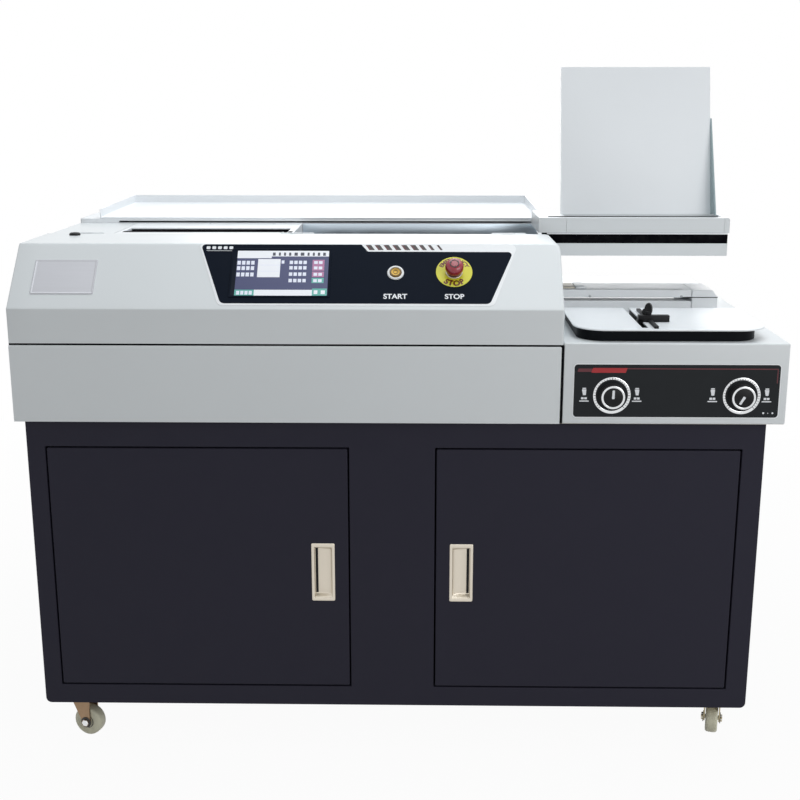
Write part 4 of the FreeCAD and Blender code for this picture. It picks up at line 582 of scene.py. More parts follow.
def hoodShape():
    # section of front, slope and top with rounded bends, carried along x with rolled ends;
    # heights near the right end are held under a sloping plane by a soft minimum:
    # (z + plane - sqrt((z - plane)^2 + softness^2)) / 2
    size = hoodSize
    foot, rear = hoodLow[2] + size["footLift"], frontY + size["depth"]
    corners = [(frontY, foot), (frontY, consoleFace["slantFoot"]),
               (frontY + consoleFace["slantDepth"], consoleTop), (rear, consoleTop)]
    line = roundedPath(corners, [0, size["bendLow"], size["bendHigh"], 0], False)
    spaced = [line[:1]]
    for a, b in zip(line[:-1], line[1:]):
        pieces = max(1, int(np.linalg.norm(b - a) / size["spacing"]))
        spaced.append(a + (b - a) * np.linspace(0, 1, pieces + 1)[1:, None])
    line = np.vstack(spaced)
    run = np.gradient(line, axis=0)
    normal = np.stack([-run[:, 1], run[:, 0]], -1)
    normal /= np.linalg.norm(normal, axis=1)[:, None]
    left, right, r = hoodLow[0], hoodHigh[0], size["rolledEnd"]
    quarter = np.linspace(0, math.pi / 2, 5)
    along, drop = r * (1 - np.cos(quarter)), r * (1 - np.sin(quarter))
    fine = right - size["fineEnd"]
    middle = np.concatenate([np.linspace(left + r, fine, 24)[1:], np.linspace(fine, right - r, 22)[1:]])
    xs = np.concatenate([left + along, middle, right - along[::-1][1:]])
    inset = np.concatenate([drop, np.zeros(len(middle)), drop[::-1][1:]])
    y = line[None, :, 0] - inset[:, None] * normal[None, :, 0]
    z = line[None, :, 1] - inset[:, None] * normal[None, :, 1]
    plane = (consoleTop + right - size["cornerCut"] - xs)[:, None] - 1.4 * inset[:, None]
    z = (z + plane - np.sqrt((z - plane) ** 2 + size["cutSoftness"] ** 2)) / 2
    rows, columns = y.shape
    x = np.repeat(xs[:, None], columns, 1)
    verts = np.stack([x, y, z], -1).reshape(-1, 3)
    faces = gridFaces(rows, columns)
    for row in (0, rows - 1):
        verts = np.vstack([verts, [xs[row], rear, foot]])
        faces.append(list(range(row * columns, row * columns + columns)) + [len(verts) - 1])
    return verts, faces


def cutWith(obj, shapes):
    # boolean difference with a set of closed shapes
    cutter = linked("cutter", meshOf("cutter", joined(*shapes), 1e-7))
    work = obj.modifiers.new("windows", "BOOLEAN")
    work.operation = "DIFFERENCE"
    work.solver = "EXACT"
    work.object = cutter
    applied(obj)
    bpy.data.objects.remove(cutter)


screenFace = {"x": -0.193, "rise": 0.0715, "width": 0.166, "height": 0.098, "window": 0.0065,
              "windowCorner": 0.003, "filmGap": 0.002, "filmCorner": 0.002}
startButton = {
    "x": -0.004, "rise": 0.072, "hole": 0.0093,
    "ring": [(0.0096, 0.0006), (0.0135, 0.0006), (0.0138, 0.001), (0.0134, 0.0022), (0.0122, 0.003),
             (0.0108, 0.003), (0.0099, 0.0024), (0.0096, 0.0014)],
    "cap": [(0.0088, -0.012), (0.0088, 0.0034), (0.0084, 0.0041), (0.0074, 0.0044), (0.0058, 0.0042),
            (0.0032, 0.0037), (0.0009, 0.0035)],
    # gapShade, edge and groove are painted shade rings: outer and inner radius, low and high
    "gapShade": (0.0104, 0.0089, 0.0006, 0.0012), "edge": (0.0086, 0.0070, 0.0038, 0.0047),
    "groove": (0.0040, 0.0032, 0.0036, 0.0043),
}
stopButton = {
    "x": 0.092, "rise": 0.074, "hole": 0.0113, "disc": 0.0298, "discRise": 0.0006,
    "collar": [(0.0122, 0.0013), (0.0140, 0.0013), (0.0144, 0.0018), (0.0141, 0.0031), (0.0134, 0.0036),
               (0.0122, 0.0036)],
    "dome": [(0.0112, 0.0092), (0.0138, 0.0092), (0.0147, 0.0102), (0.015, 0.0122), (0.015, 0.0164),
             (0.0144, 0.0192), (0.0131, 0.0216), (0.0108, 0.0235), (0.0078, 0.0246), (0.004, 0.0249),
             (0.0005, 0.025)],
}
hinges = {"shares": (0.08, 0.5, 0.92), "y": frontY + 0.246, "z": 0.887, "half": 0.01, "gap": 0.0004,
          "length": 0.02, "radius": 0.003, "chamfer": 0.0004, "notch": 0.006}
coverPlug = {"x": -0.5755, "y": frontY + 0.2145, "profile": [
    (0.0098, 0.0), (0.0098, 0.0022), (0.0092, 0.0036), (0.0076, 0.0046), (0.004, 0.0052), (0.0005, 0.0053)]}


def screenRect(inset=0.0):
    s = screenFace
    w, h = s["width"] / 2 - inset, s["height"] / 2 - inset
    return s["x"] - w, s["x"] + w, s["rise"] - h, s["rise"] + h


def buildHood():
    hood = linked("consoleCover", meshOf("consoleCover", hoodShape()))
    inside = Vector((0, frontY + hoodSize["middle"][0], hoodSize["middle"][1]))
    outward = sum(1 if (p.center - inside).dot(p.normal) > 0 else -1 for p in hood.data.polygons)
    if outward < 0:
        hood.data.flip_normals()
    wall = hood.modifiers.new("sheet", "SOLIDIFY")
    wall.thickness = consoleFace["sheet"]
    wall.offset = -1
    wall.use_even_offset = True
    applied(hood)
    deep = hoodSize["cutReach"]
    window = roundedRect(*screenRect(screenFace["window"]), screenFace["windowCorner"])
    cuts = [slantShape(plateShape(window, -deep, deep))]
    for control in (startButton, stopButton):
        hole = [(control["hole"], -deep), (control["hole"], deep)]
        cuts.append(turned(hole, slantFoot(control), slantNormal))
    h, r, c = hinges, hinges["radius"], hinges["chamfer"]
    profile = [(r - c, 0), (r, c), (r, h["length"] - c), (r - c, h["length"])]
    reach = h["half"] + h["gap"]
    knuckles = []
    for share in h["shares"]:
        centre = np.array([hoodLow[0] + share * (bodyRight - hoodLow[0]), h["y"], h["z"]])
        span = np.array([reach, h["notch"], h["notch"]])
        cuts.append(softBox(centre - span, centre + span, 0.0005, 1))
        for start in (-reach - h["length"], reach):
            knuckles.append(turned(profile, centre + [start, 0, 0], (1, 0, 0), 20))
    cutWith(hood, cuts)
    dress(hood, paints["housing"], "hood", ["hood"], smooth=24)
    addPiece("coverKnuckles", joined(*knuckles), paints["housing"], "hood")
    plugFoot = (coverPlug["x"], coverPlug["y"], consoleTop - 0.0002)
    addPiece("coverPlug", turned(coverPlug["profile"], plugFoot, (0, 0, 1)), plastics["black"], "hood")
    # painted shade: a black rubber strip in the seam under the cover's front edge, standing for the shadow of
    # the gap
    seamShade = softBox((hoodLow[0] + 0.0006, frontY + 0.0008, hoodLow[2] - 0.003),
                   (bodyRight - 0.0003, frontY + 0.005, hoodLow[2] + 0.0036), 0.0004, 2)
    addPiece("hoodSeamShade", seamShade, plastics["rubber"], "machine")


buildHood()
print("console cover built")


# console film, its rim and printed marks

consoleFilm = {
    "rim": [(-0.2912, 0.0078), (0.1555, 0.0078), (0.1990, 0.1308), (-0.3322, 0.1308)],
    "rimRadii": [0.011, 0.012, 0.010, 0.006],
    "film": [(-0.2874, 0.0116), (0.1495, 0.0116), (0.1900, 0.1145), (-0.0505, 0.1150), (-0.0615, 0.1292),
             (-0.3288, 0.1292)],
    "filmRadii": [0.010, 0.010, 0.006, 0.003, 0.003, 0.006],
    "rimHeight": 0.0005, "filmHeight": 0.0008,
    "hashes": {"starts": np.linspace(-0.0478, 0.0700, 9), "widths": [0.0088] * 6 + [0.0068, 0.0050, 0.0036],
               "low": 0.1184, "high": 0.1286, "radius": 0.0003, "lean": -0.0066, "shadeFrom": 0.4},
    "dashes": {"starts": np.linspace(-0.319, -0.281, 5), "width": 0.0064, "low": 0.1193, "high": 0.1252,
               "radius": 0.0014, "line": (-0.3185, -0.2735, 0.1158, 0.1165), "lineRadius": 0.0003},
    "wordRise": 0.0252, "wordHeight": 0.0094, "wordWeight": 0.00035,
}


def letters(name, text, height, place, ink, weight):
    # generic lettering made a mesh, then put in place by a function of its flat points
    curve = bpy.data.curves.new(name, "FONT")
    curve.body = text
    curve.align_x = "CENTER"
    curve.align_y = "CENTER"
    curve.size = height * 1.4
    curve.extrude = inkDepth
    curve.offset = weight
    source = linked(name + "Source", curve)
    mesh = evaluated(source)
    bpy.data.objects.remove(source)
    flat = np.zeros(len(mesh.vertices) * 3)
    mesh.vertices.foreach_get("co", flat)
    mesh.vertices.foreach_set("co", place(flat.reshape(-1, 3)).reshape(-1))
    mesh.name = name
    dress(linked(name, cleaned(mesh)), ink, "hood")


def buildFilm():
    f = consoleFilm
    rim = roundedPath(f["rim"], f["rimRadii"], True, 8)
    film = roundedPath(f["film"], f["filmRadii"], True, 8)
    holes = [roundedRect(*screenRect(screenFace["filmGap"]), screenFace["filmCorner"])[::-1]]
    holes += [circle(b["x"], b["rise"], b["hole"])[::-1] for b in (startButton, stopButton)]
    onConsole("filmRim", [plateShape(rim, -inkDepth, f["rimHeight"], holes)], plastics["rim"],
              replaces=["console_panel"])
    onConsole("consoleFilm", [plateShape(film, inkDepth, f["filmHeight"], holes)], plastics["film"])
    h = f["hashes"]
    for name, ink, first, rise in (("redHashes", "darkRed", 0.0, 0.0002),
                                   ("blackHashes", "black", h["shadeFrom"], 0.0003)):
        span = inkSpan(f["rimHeight"], rise)
        onConsole(name, [bar(x + w * first, x + w, h["low"], h["high"], *span, h["radius"], h["lean"])
                         for x, w in zip(h["starts"], h["widths"])], inks[ink])
    d, span = f["dashes"], inkSpan(f["filmHeight"])
    dashes = [bar(x, x + d["width"], d["low"], d["high"], *span, d["radius"]) for x in d["starts"]]
    dashes.append(bar(*d["line"], *span, d["lineRadius"]))
    onConsole("headingMarks", dashes, inks["white"])
    for name, word, control in (("startWord", "START", startButton), ("stopWord", "STOP", stopButton)):
        spot = np.array([control["x"], f["wordRise"], f["filmHeight"]])
        letters(name, word, f["wordHeight"], lambda p: onSlant(p + spot), inks["white"], f["wordWeight"])


buildFilm()


# touch screen with a plain generic page

screenGlass = {"lip": 0.0035, "rim": 0.002, "face": 0.0018, "cornerRadius": 0.0025, "leastRadius": 0.0004,
               "pageLeft": 0.0102, "pageRight": 0.0045, "pageFoot": 0.0020, "pageTop": 0.0052,
               "layer": 0.00008}


def buildScreen():
    g = screenGlass
    case = [(0.0, -0.0003), (0.0, 0.0012), (0.0008, g["rim"]), (g["lip"], g["rim"]),
            (g["lip"] + 0.0002, g["face"])]
    bezel = insetRows(screenRect(), case, g["cornerRadius"], g["leastRadius"])
    onConsole("screenBezel", [bezel], plastics["film"], ["touch_screen"])
    x0, x1, y0, y1 = screenRect()
    left, high = x0 + g["pageLeft"], y1 - g["pageTop"]
    wide, tall = x1 - g["pageRight"] - left, high - y0 - g["pageFoot"]

    def patch(u0, u1, v0, v1, layer):
        # u from the left edge and v from the top edge, as shares of the page
        return bar(left + u0 * wide, left + u1 * wide, high - v1 * tall, high - v0 * tall,
                   g["face"] - 0.0002, g["face"] + g["layer"] * layer)

    def block(starts, width, tops, height, layer):
        return [patch(u, u + width, v, v + height, layer) for v in tops for u in starts]

    title = ((0.385, 0.03), (0.45, 0.022), (0.507, 0.022), (0.562, 0.024), (0.622, 0.036), (0.69, 0.04),
             (0.765, 0.022), (0.822, 0.022), (0.877, 0.026), (0.935, 0.03))
    rowsLeft, rowsRight = (0.225, 0.345, 0.485), (0.22, 0.34, 0.48, 0.62)
    page = {
        "screenPage": ("screen", [patch(0, 1, 0, 1, 1)]),
        "screenHeader": ("screenWhite", [patch(0.0, 0.375, 0.0, 0.165, 2), patch(0.375, 1.0, 0.0, 0.125, 2)]),
        "screenTitle": ("screenDark", [patch(u, u + w, 0.04, 0.11, 3) for u, w in title]),
        "screenFields": ("screenWhite", [patch(0.23, 0.475, 0.185, 0.585, 2)]),
        "screenFieldLines": ("screenText", block((0.235,), 0.235, (0.315, 0.45), 0.008, 3)),
        "screenMark": ("screenText", [patch(0.487, 0.517, 0.215, 0.285, 2)]),
        "screenPinkFields": ("screenPink", [patch(0.825, 0.955, v - 0.02, v + 0.1, 2) for v in rowsRight[:3]]),
        "screenTealFields": ("screenTeal", [patch(0.825, 0.955, 0.6, 0.71, 2), patch(0.0, 0.21, 0.86, 0.99, 2),
                                            patch(0.835, 0.995, 0.83, 0.99, 2)]),
        "screenBar": ("screenWhite", [patch(0.21, 0.835, 0.86, 0.985, 3)]),
        "screenButtonMark": ("screenWhite", [patch(0.855, 0.895, 0.87, 0.95, 3),
                                             patch(0.93, 0.975, 0.87, 0.95, 3)]),
        "screenLabels": ("screenText", block((0.005, 0.055, 0.105, 0.155), 0.037, rowsLeft, 0.085, 2)
                         + block((0.575, 0.625, 0.675, 0.725), 0.037, rowsRight, 0.075, 2)
                         + block((0.842, 0.894), 0.04, [v + 0.008 for v in rowsRight], 0.064, 3)
                         + block((0.02, 0.065, 0.11, 0.155), 0.034, (0.885,), 0.08, 3)),
    }
    for name, (ink, shapes) in page.items():
        onConsole(name, shapes, inks[ink])


buildScreen()


# push buttons

def buildStart():
    b = startButton
    foot = slantFoot(b)
    addPiece("startRing", turned(b["ring"], foot, slantNormal, 64, "joined"), plastics["rim"], "hood")
    # painted shade: a brown ring in the gap between the ring and the cap, standing for the gap's shadow
    onConsole("startGapShade", [washer(b["x"], b["rise"], *b["gapShade"])], inks["brown"])
    addPiece("startCap", turned(b["cap"], foot, slantNormal), metals["brass"], "start_button",
             ["start_button"])
    # painted shade: olive rings on the cap's rounded edge and round its shallow dish
    onConsole("startCapShade", [washer(b["x"], b["rise"], *b["edge"]),
                               washer(b["x"], b["rise"], *b["groove"], (32, 32))],
              inks["olive"], body="start_button")


def stopArrow(turn):
    # an arc with a head at its end, its surface following the dome: 0.0244 - 0.14 * (radius - 0.0055)
    a = np.linspace(math.radians(-55), math.radians(40), 14) + turn
    arc = np.c_[np.cos(a), np.sin(a)]
    tip = [(a[-1], 0.0092), (a[-1] + 0.38, 0.007), (a[-1], 0.0048)]
    head = np.array([[math.cos(angle) * radius, math.sin(angle) * radius] for angle, radius in tip])
    verts, faces = plateShape(np.vstack([arc * 0.0078, head, arc[::-1] * 0.0062]), 0.0, 1.0)
    slope = np.maximum(0, np.hypot(verts[:, 0], verts[:, 1]) - 0.0055) * 0.14
    place = [stopButton["x"], stopButton["rise"]]
    return np.c_[verts[:, :2] + place, 0.0244 + verts[:, 2] * 0.0009 - slope], faces


def buildStop():
    b, film = stopButton, consoleFilm["filmHeight"]
    foot = slantFoot(b)
    disc = washer(b["x"], b["rise"], b["disc"], b["hole"], film - 0.0002, film + b["discRise"], (72, 48))
    onConsole("stopDisc", [disc], plastics["yellow"])
    addPiece("stopCollar", turned(b["collar"], foot, slantNormal, 56), metals["zinc"], "hood")
    addPiece("stopMushroom", turned(b["dome"], foot, slantNormal, 64), plastics["red"], "stop_head",
             ["stop_head"])
    onConsole("stopArrows", [stopArrow(k * 2 * math.pi / 3) for k in range(3)], inks["black"],
              body="stop_head")
    for name, word, height, radius, side, weight in (
            ("discWord", "STOP", 0.0100, 0.0232, -1, 0.0006),
            ("discUpperWord", "EMERGENCY", 0.0068, 0.0236, 1, 0.0004)):

        def bent(p):
            # letters bent round the lower or upper half of the disc: x becomes an angle and y a radius
            angle, reach = side * (math.pi / 2 - p[:, 0] / radius), radius + side * p[:, 1]
            return onSlant(np.c_[b["x"] + reach * np.cos(angle), b["rise"] + reach * np.sin(angle),
                                 p[:, 2] + film + b["discRise"]])

        letters(name, word, height, bent, inks["brown"], weight)


# bare name plate with a rolled edge

namePlate = {"rect": (-0.6005, -0.497, 0.029, 0.097), "radius": 0.002, "leastRadius": 0.0003,
             "rows": [(0.0, 0.0), (0.0, 0.0007), (0.0005, 0.0012), (0.0016, 0.0012), (0.0022, 0.0012),
                      (0.0028, 0.0009), (0.0040, 0.0009), (0.0060, 0.0009)]}


def buildNamePlate():
    p = namePlate
    onConsole("namePlate", [insetRows(p["rect"], p["rows"], p["radius"], p["leastRadius"])], metals["plate"])


buildStart()
buildStop()
buildNamePlate()
print("console built")


# lower front cover, creasing unit shell and their printed panel

def onFront(shape, face=frontY):
    # x, height and distance off the front face
    p = np.asarray(shape[0])
    return np.c_[p[:, 0], face - p[:, 2], p[:, 1]], shape[1]


def onPanel(name, shapes, material):
    addPiece(name, onFront(joined(*shapes)), material, "machine")


lowerCover = {"sheet": 0.0015, "bend": 0.0025, "topGap": 0.001, "leftGap": 0.0002, "bevel": 0.0004}
creasePanel = {
    "x0": 0.2863, "x1": 0.6232, "z0": 0.6140, "z1": 0.7050, "radius": 0.007, "rim": 0.0016,
    "rimHeight": 0.0004, "filmHeight": 0.0007, "shellRadius": 0.0025, "knobZ": 0.652,
    "knobs": {"left_panel_knob": (0.350, 2), "right_panel_knob": (0.561, 210)},
    "redBar": (0.315, 0.371, 0.6898, 0.6978), "redRadius": 0.001,
    "redStart": (0.2925, 0.3165, 0.6912, 0.6968),
    "redLines": ((0.3735, 0.6165, 0.6958, 0.6975), (0.6165, 0.6181, 0.673, 0.6975)),
    "symbolX": (0.305, 0.391, 0.514, 0.602), "dotZ": 0.623,
    "dots": ((0.598, 0.0016, 20), (0.613, 0.0016, 20), (0.6055, 0.0008, 12)),
    "collar": [(0.0256, -0.0002), (0.0305, -0.0002), (0.0305, 0.0009), (0.0298, 0.0013), (0.0264, 0.0013),
               (0.0256, 0.0009)],
}


def buildLowerCover():
    low, high = boxOf("lower_front_cover")
    c = lowerCover
    # painted shade: a black rubber strip along the cover's right edge, standing for the shadow of the gap
    # beside it
    strip = softBox((high[0] - 0.0012, low[1] - 0.0002, low[2] + 0.0005),
                    (high[0] + 0.0044, low[1] + 0.006, high[2] + 0.0015), 0.0004, 2)
    addPiece("coverGapShade", strip, plastics["rubber"], "machine")
    top = high[2] - c["topGap"]
    section = sheetLoop([(low[1], low[2]), (low[1], top), (high[1], top)], [0, c["bend"], 0], c["sheet"], 6)
    addPiece("lowerCover", extruded(section, 0, (low[0] + c["leftGap"], high[0])), paints["housing"],
             "machine", ["lower_front_cover"], bevel=c["bevel"])


symbol = {
    "cup": [(-0.0040, 0.6620), (0.0034, 0.6620), (0.0026, 0.6522), (-0.0020, 0.6522)], "cupRadius": 0.0008,
    "lid": (-0.0032, 0.0028, 0.6626, 0.6646), "leftFoot": (-0.0050, -0.0006, 0.6452, 0.6488),
    "rightFoot": (0.0002, 0.0046, 0.6452, 0.6488), "base": (-0.0078, 0.0078, 0.6414, 0.6433),
}
dialScale = {"count": 31, "end": 135, "each": 5, "outer": 0.0297, "short": (0.0262, 0.0003),
             "long": (0.0248, 0.00045), "low": 0.0012, "high": 0.00142}


def symbolShapes(x, span):
    # a cup with a lid, two feet and a base line
    cup = [(x + across, height) for across, height in symbol["cup"]]
    shapes = [plateShape(roundedPath(cup, [symbol["cupRadius"]] * 4, True, 3), *span)]
    for part in ("lid", "leftFoot", "rightFoot", "base"):
        x0, x1, z0, z1 = symbol[part]
        shapes.append(bar(x + x0, x + x1, z0, z1, *span))
    return shapes


def dialTicks(centre, low, high):
    # ticks over three quarters of a turn, every fifth longer and wider
    s, ticks = dialScale, []
    for k, a in enumerate(np.radians(np.linspace(-s["end"], s["end"], s["count"]))):
        inner, half = s["short"] if k % s["each"] else s["long"]
        d = np.array([math.sin(a), math.cos(a)])
        side = np.array([d[1], -d[0]]) * half
        p, q = centre + d * inner, centre + d * s["outer"]
        ticks.append(plateShape(np.array([p - side, q - side, q + side, p + side]), low, high))
    return ticks


def buildCreaserShell():
    c = creasePanel
    addPiece("creaserShell", softBox(*boxOf("creaser_housing"), c["shellRadius"], 5), paints["housing"],
             "machine", ["creaser_housing"])
    x0, x1, z0, z1, r = c["x0"], c["x1"], c["z0"], c["z1"], c["rim"]
    outer = roundedRect(x0, x1, z0, z1, c["radius"], 8)
    inner = roundedRect(x0 + r, x1 - r, z0 + r, z1 - r, c["radius"] - r, 8)
    top = c["filmHeight"]
    span = inkSpan(top)
    onPanel("creasePanelRim", [plateShape(outer, -inkDepth, c["rimHeight"])], plastics["rim"])
    onPanel("creasePanelFilm", [plateShape(inner, inkDepth, top)], plastics["creaseFilm"])
    onPanel("redBar", [bar(*c["redBar"], *inkSpan(top, 0.0002), c["redRadius"], 0.003)], inks["red"])
    redLine = [bar(*c["redStart"], *span, c["redRadius"], 0.002)]
    redLine += [bar(*line, *span) for line in c["redLines"]]
    onPanel("redLine", redLine, inks["thinRed"])
    marks = [mark for x in c["symbolX"] for mark in symbolShapes(x, span)]
    marks += [plateShape(circle(x, c["dotZ"], radius, count), *span) for x, radius, count in c["dots"]]
    onPanel("creaseMarks", marks, inks["white"])
    rings, ticks = [], []
    for x, _ in c["knobs"].values():
        rings.append(turned(c["collar"], (x, frontY - top, c["knobZ"]), (0, -1, 0), 96, "joined"))
        ticks += dialTicks(np.array([x, c["knobZ"]]), top + dialScale["low"], top + dialScale["high"])
    addPiece("dialRings", joined(*rings), metals["chrome"], "machine")
    onPanel("dialTicks", ticks, inks["black"])


# skirt heights are from the knob's foot, crown and ring heights from its face;
# pointer corners are across and along the pointer
knob = {
    "skirt": [(0.0035, -0.012), (0.0035, 0.0), (0.0205, 0.0), (0.021, 0.0006), (0.021, 0.0026),
              (0.0205, 0.003), (0.0199, 0.0031)],
    "crown": [(0.0195, -0.0022), (0.0188, -0.0006), (0.0182, -0.0002)],
    "ring": [(0.0146, -0.0008), (0.0188, -0.0008), (0.0191, -0.0003), (0.0186, 0.0), (0.0162, -0.0001),
             (0.015, -0.0006)],
    "pointer": [(-0.0022, -0.0024), (0.0022, -0.0024), (0.0019, 0.0122), (-0.0019, 0.0122)],
    "pointerRadius": 0.0012, "stand": 0.001, "flutes": 32, "fluteShare": 0.012, "fluteFoot": 0.0032,
    "fluteTop": 0.001,
}


def buildKnob(name, x, turn):
    foot = np.array([x, frontY - knob["stand"], creasePanel["knobZ"]])
    depth = foot[1] - boxOf(name)[0][1]
    crown, face = [[(radius, depth + height) for radius, height in knob[part]] for part in ("crown", "ring")]
    verts, faces = turned(knob["skirt"] + crown, foot, (0, -1, 0), 96)
    out = foot[1] - verts[:, 1]
    a = np.arctan2(verts[:, 2] - foot[2], verts[:, 0] - foot[0])
    fluted = (out > knob["fluteFoot"]) & (out < depth - knob["fluteTop"])
    flutes = np.where(fluted, knob["fluteShare"] * np.cos(a * knob["flutes"]), 0)
    verts[:, 0::2] = foot[0::2] + (verts[:, 0::2] - foot[0::2]) * (1 + flutes)[:, None]
    addPiece(name + "Grip", (verts, faces), plastics["black"], name, [name])
    addPiece(name + "Ring", turned(face, foot, (0, -1, 0), 72, "joined"), metals["chrome"], name)
    d = math.radians(turn)
    along, across = np.array([math.sin(d), math.cos(d)]), np.array([math.cos(d), -math.sin(d)])
    local = roundedPath(knob["pointer"], [knob["pointerRadius"]] * 4, True, 3)
    flat = np.array([x, creasePanel["knobZ"]]) + local[:, :1] * across + local[:, 1:] * along
    addPiece(name + "Pointer", onFront(plateShape(flat, depth - 0.0004, depth - 0.00005), foot[1]),
             inks["white"], name)


buildLowerCover()
buildCreaserShell()
for knobName, (knobX, knobTurn) in creasePanel["knobs"].items():
    buildKnob(knobName, knobX, knobTurn)


# cross-head screws

screwHead = {"rings": 9, "segments": 40, "roundness": 0.94, "grooveHalf": 0.14, "grooveReach": 0.62,
             "grooveDepth": 0.8}


def screwShape(foot, axis, radius, height, turn):
    # a low dome, height * sqrt(1 - roundness * r^2), with two crossing grooves pressed into it
    rings, segments = screwHead["rings"], screwHead["segments"]
    up, side, other = axisFrame(axis)
    a = fullTurn(segments)
    r = radius * np.linspace(1, 0, rings)[:, None] + 0 * a[None]
    u, v = r * np.cos(a), r * np.sin(a)
    dome = height * np.sqrt(np.maximum(0.0, 1 - (r / radius) ** 2 * screwHead["roundness"]))
    c, s = math.cos(turn), math.sin(turn)
    p, q = np.abs(u * c + v * s), np.abs(-u * s + v * c)
    wide, long = radius * screwHead["grooveHalf"], radius * screwHead["grooveReach"]
    groove = np.maximum(np.clip(1 - p / wide, 0, 1) * (q < long), np.clip(1 - q / wide, 0, 1) * (p < long))
    h = dome - groove * height * screwHead["grooveDepth"]
    verts = np.asarray(foot) + u[..., None] * side + v[..., None] * other + h[..., None] * up
    base = np.asarray(foot) + (u[0, :, None] * side + v[0, :, None] * other)
    faces = gridFaces(rings + 1, segments, closed=True)
    faces.append(list(range(segments))[::-1])
    return np.vstack([base, verts.reshape(-1, 3)]), faces


coverScrews = {"radius": 0.0035, "frontRise": 0.0013, "frontX": 0.2325, "frontZ": (0.625, 0.718),
               "rearRise": 0.0014, "rearSpan": 0.821, "rearCount": 5}


def buildScrews():
    low, high = boxOf("cover_screws")
    s, r = coverScrews, coverScrews["radius"]
    coverFront = boxOf("lower_front_cover")[0][1] + 0.0001
    front = [screwShape((s["frontX"], coverFront, z), (0, -1, 0), r, s["frontRise"], 0.4 + z * 9)
             for z in s["frontZ"]]
    across = np.linspace(low[0] + r, low[0] + r + s["rearSpan"], s["rearCount"])
    rear = [screwShape((x, high[1] - 0.0015, z), (0, 1, 0), r, s["rearRise"], k + z)
            for k, x in enumerate(across) for z in (low[2] + r, high[2] - r)]
    addPiece("coverScrews", joined(*front, *rear), metals["steel"], "machine", ["cover_screws"])


buildScrews()
print("front panels built")


# cabinet: wrapped shell, front frame, pan doors, scooped pulls

cabinet = {"sheet": 0.0015, "corner": 0.0095, "topCorner": 0.002, "doorGap": 0.0025, "lip": 0.0012,
           "lipCorner": 0.002, "pinX": 0.008, "pinY": 0.0055, "pinRadius": 0.003, "pinReach": 0.009}
pan = {"bend": 0.002, "corner": 0.0026, "leastCorner": 0.0006, "windowCorner": 0.004}
pull = {"edge": 0.0033, "bow": 0.0014, "rim": 0.005, "depth": 0.0105, "slot": (0.0062, 0.0106),
        "slotFoot": 0.0085, "slotTop": 0.0090, "tallShare": 1.35, "scoopEnd": 0.07,
        "rows": [(0.0, 0.0), (0.0001, 0.0004), (0.0006, 0.0009), (0.0018, 0.0012), (0.0034, 0.00115),
                 (0.0044, 0.0008), (0.005, 0.0001), (0.005, -0.0012)]}
doorSides = {"left_door": -1, "right_door": 1}


def buildShell():
    # one sheet bent round under the cabinet and up both sides, closed behind by a plate of the same outline
    low, high = boxOf("cabinet_shell")
    t, corner = cabinet["sheet"], cabinet["corner"]
    bend = [(low[0], high[2]), (low[0], low[2]), (high[0], low[2]), (high[0], high[2])]
    wrap = extruded(sheetLoop(bend, [0, corner, corner, 0], t, 8), 1, (low[1], high[1] - t))
    back = onFront(plateShape(roundedPath(bend, [0.001, corner, corner, 0.001], True, 8), 0.0, t), high[1])
    addPiece("cabinetWrap", joined(wrap, back), paints["cabinet"], "machine",
             ["cabinet_shell"], smooth=50)


def buildFrame():
    low, high = boxOf("cabinet_front_frame")
    c, gap, r, t = cabinet, cabinet["doorGap"], cabinet["lip"], cabinet["sheet"]
    depth = high[1] - low[1]
    outline = roundedPath([(low[0], low[2]), (high[0], low[2]), (high[0], high[2]), (low[0], high[2])],
                          [c["corner"]] * 2 + [c["topCorner"]] * 2, True)
    lip = [(-r, 0.0), (-0.0006, -0.0002), (-0.0002, -0.0006), (0.0, -r), (0.0, -depth), (-t, -depth),
           (-t, -t)]
    holes, sleeves, pins = [], [], []
    for door, side in doorSides.items():
        dLow, dHigh = boxOf(door)
        x0, x1, z0, z1 = dLow[0] - gap, dHigh[0] + gap, dLow[2] - gap, dHigh[2] + gap
        holes.append(roundedRect(x0 - r, x1 + r, z0 - r, z1 + r, c["lipCorner"], 4)[::-1])
        sleeves.append(insetRows((x0, x1, z0, z1), lip, c["lipCorner"] - r, 0.0004, 4, "open"))
        x = dHigh[0] - c["pinX"] if side > 0 else dLow[0] + c["pinX"]
        length = gap + c["pinReach"]
        for foot in (z0, dHigh[2] - c["pinReach"]):
            pins.append(turned([(c["pinRadius"], 0), (c["pinRadius"], length)], (x, low[1] + c["pinY"], foot),
                               (0, 0, 1), 24))
    frameShape = joined(plateShape(outline, -t, 0.0, holes), *sleeves)
    addPiece("cabinetFrame", onFront(frameShape, low[1]), paints["cabinet"], "machine",
             ["cabinet_front_frame"], smooth=50)
    addPiece("doorPins", joined(*pins), paints["black"], "machine")


def pullPlace(door):
    low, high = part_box(door + "_pull")
    return low[0], high[0], low[2], high[2]


def buildDoor(name):
    low, high = boxOf(name)
    x0, x1, z0, z1 = pullPlace(name)
    r, t, edge, depth = pan["bend"], cabinet["sheet"], pull["edge"], high[1] - low[1]
    window = roundedRect(x0 + edge, x1 - edge, z0 + edge, z1 - edge, pan["windowCorner"], 4)[::-1]
    outline = roundedRect(low[0] + r, high[0] - r, low[2] + r, high[2] - r, pan["leastCorner"], 4)
    rows = [(r * (1 - math.sin(k)), r * (math.cos(k) - 1)) for k in np.linspace(0, math.pi / 2, 6)]
    rows += [(0.0, -depth), (t, -depth), (t, -t)]
    sides = insetRows((low[0], high[0], low[2], high[2]), rows, pan["corner"], pan["leastCorner"], 4, "open")
    addPiece(name + "Pan", onFront(joined(plateShape(outline, -t, 0.0, [window]), sides), low[1]),
             paints["cabinet"], name, [name], smooth=50)


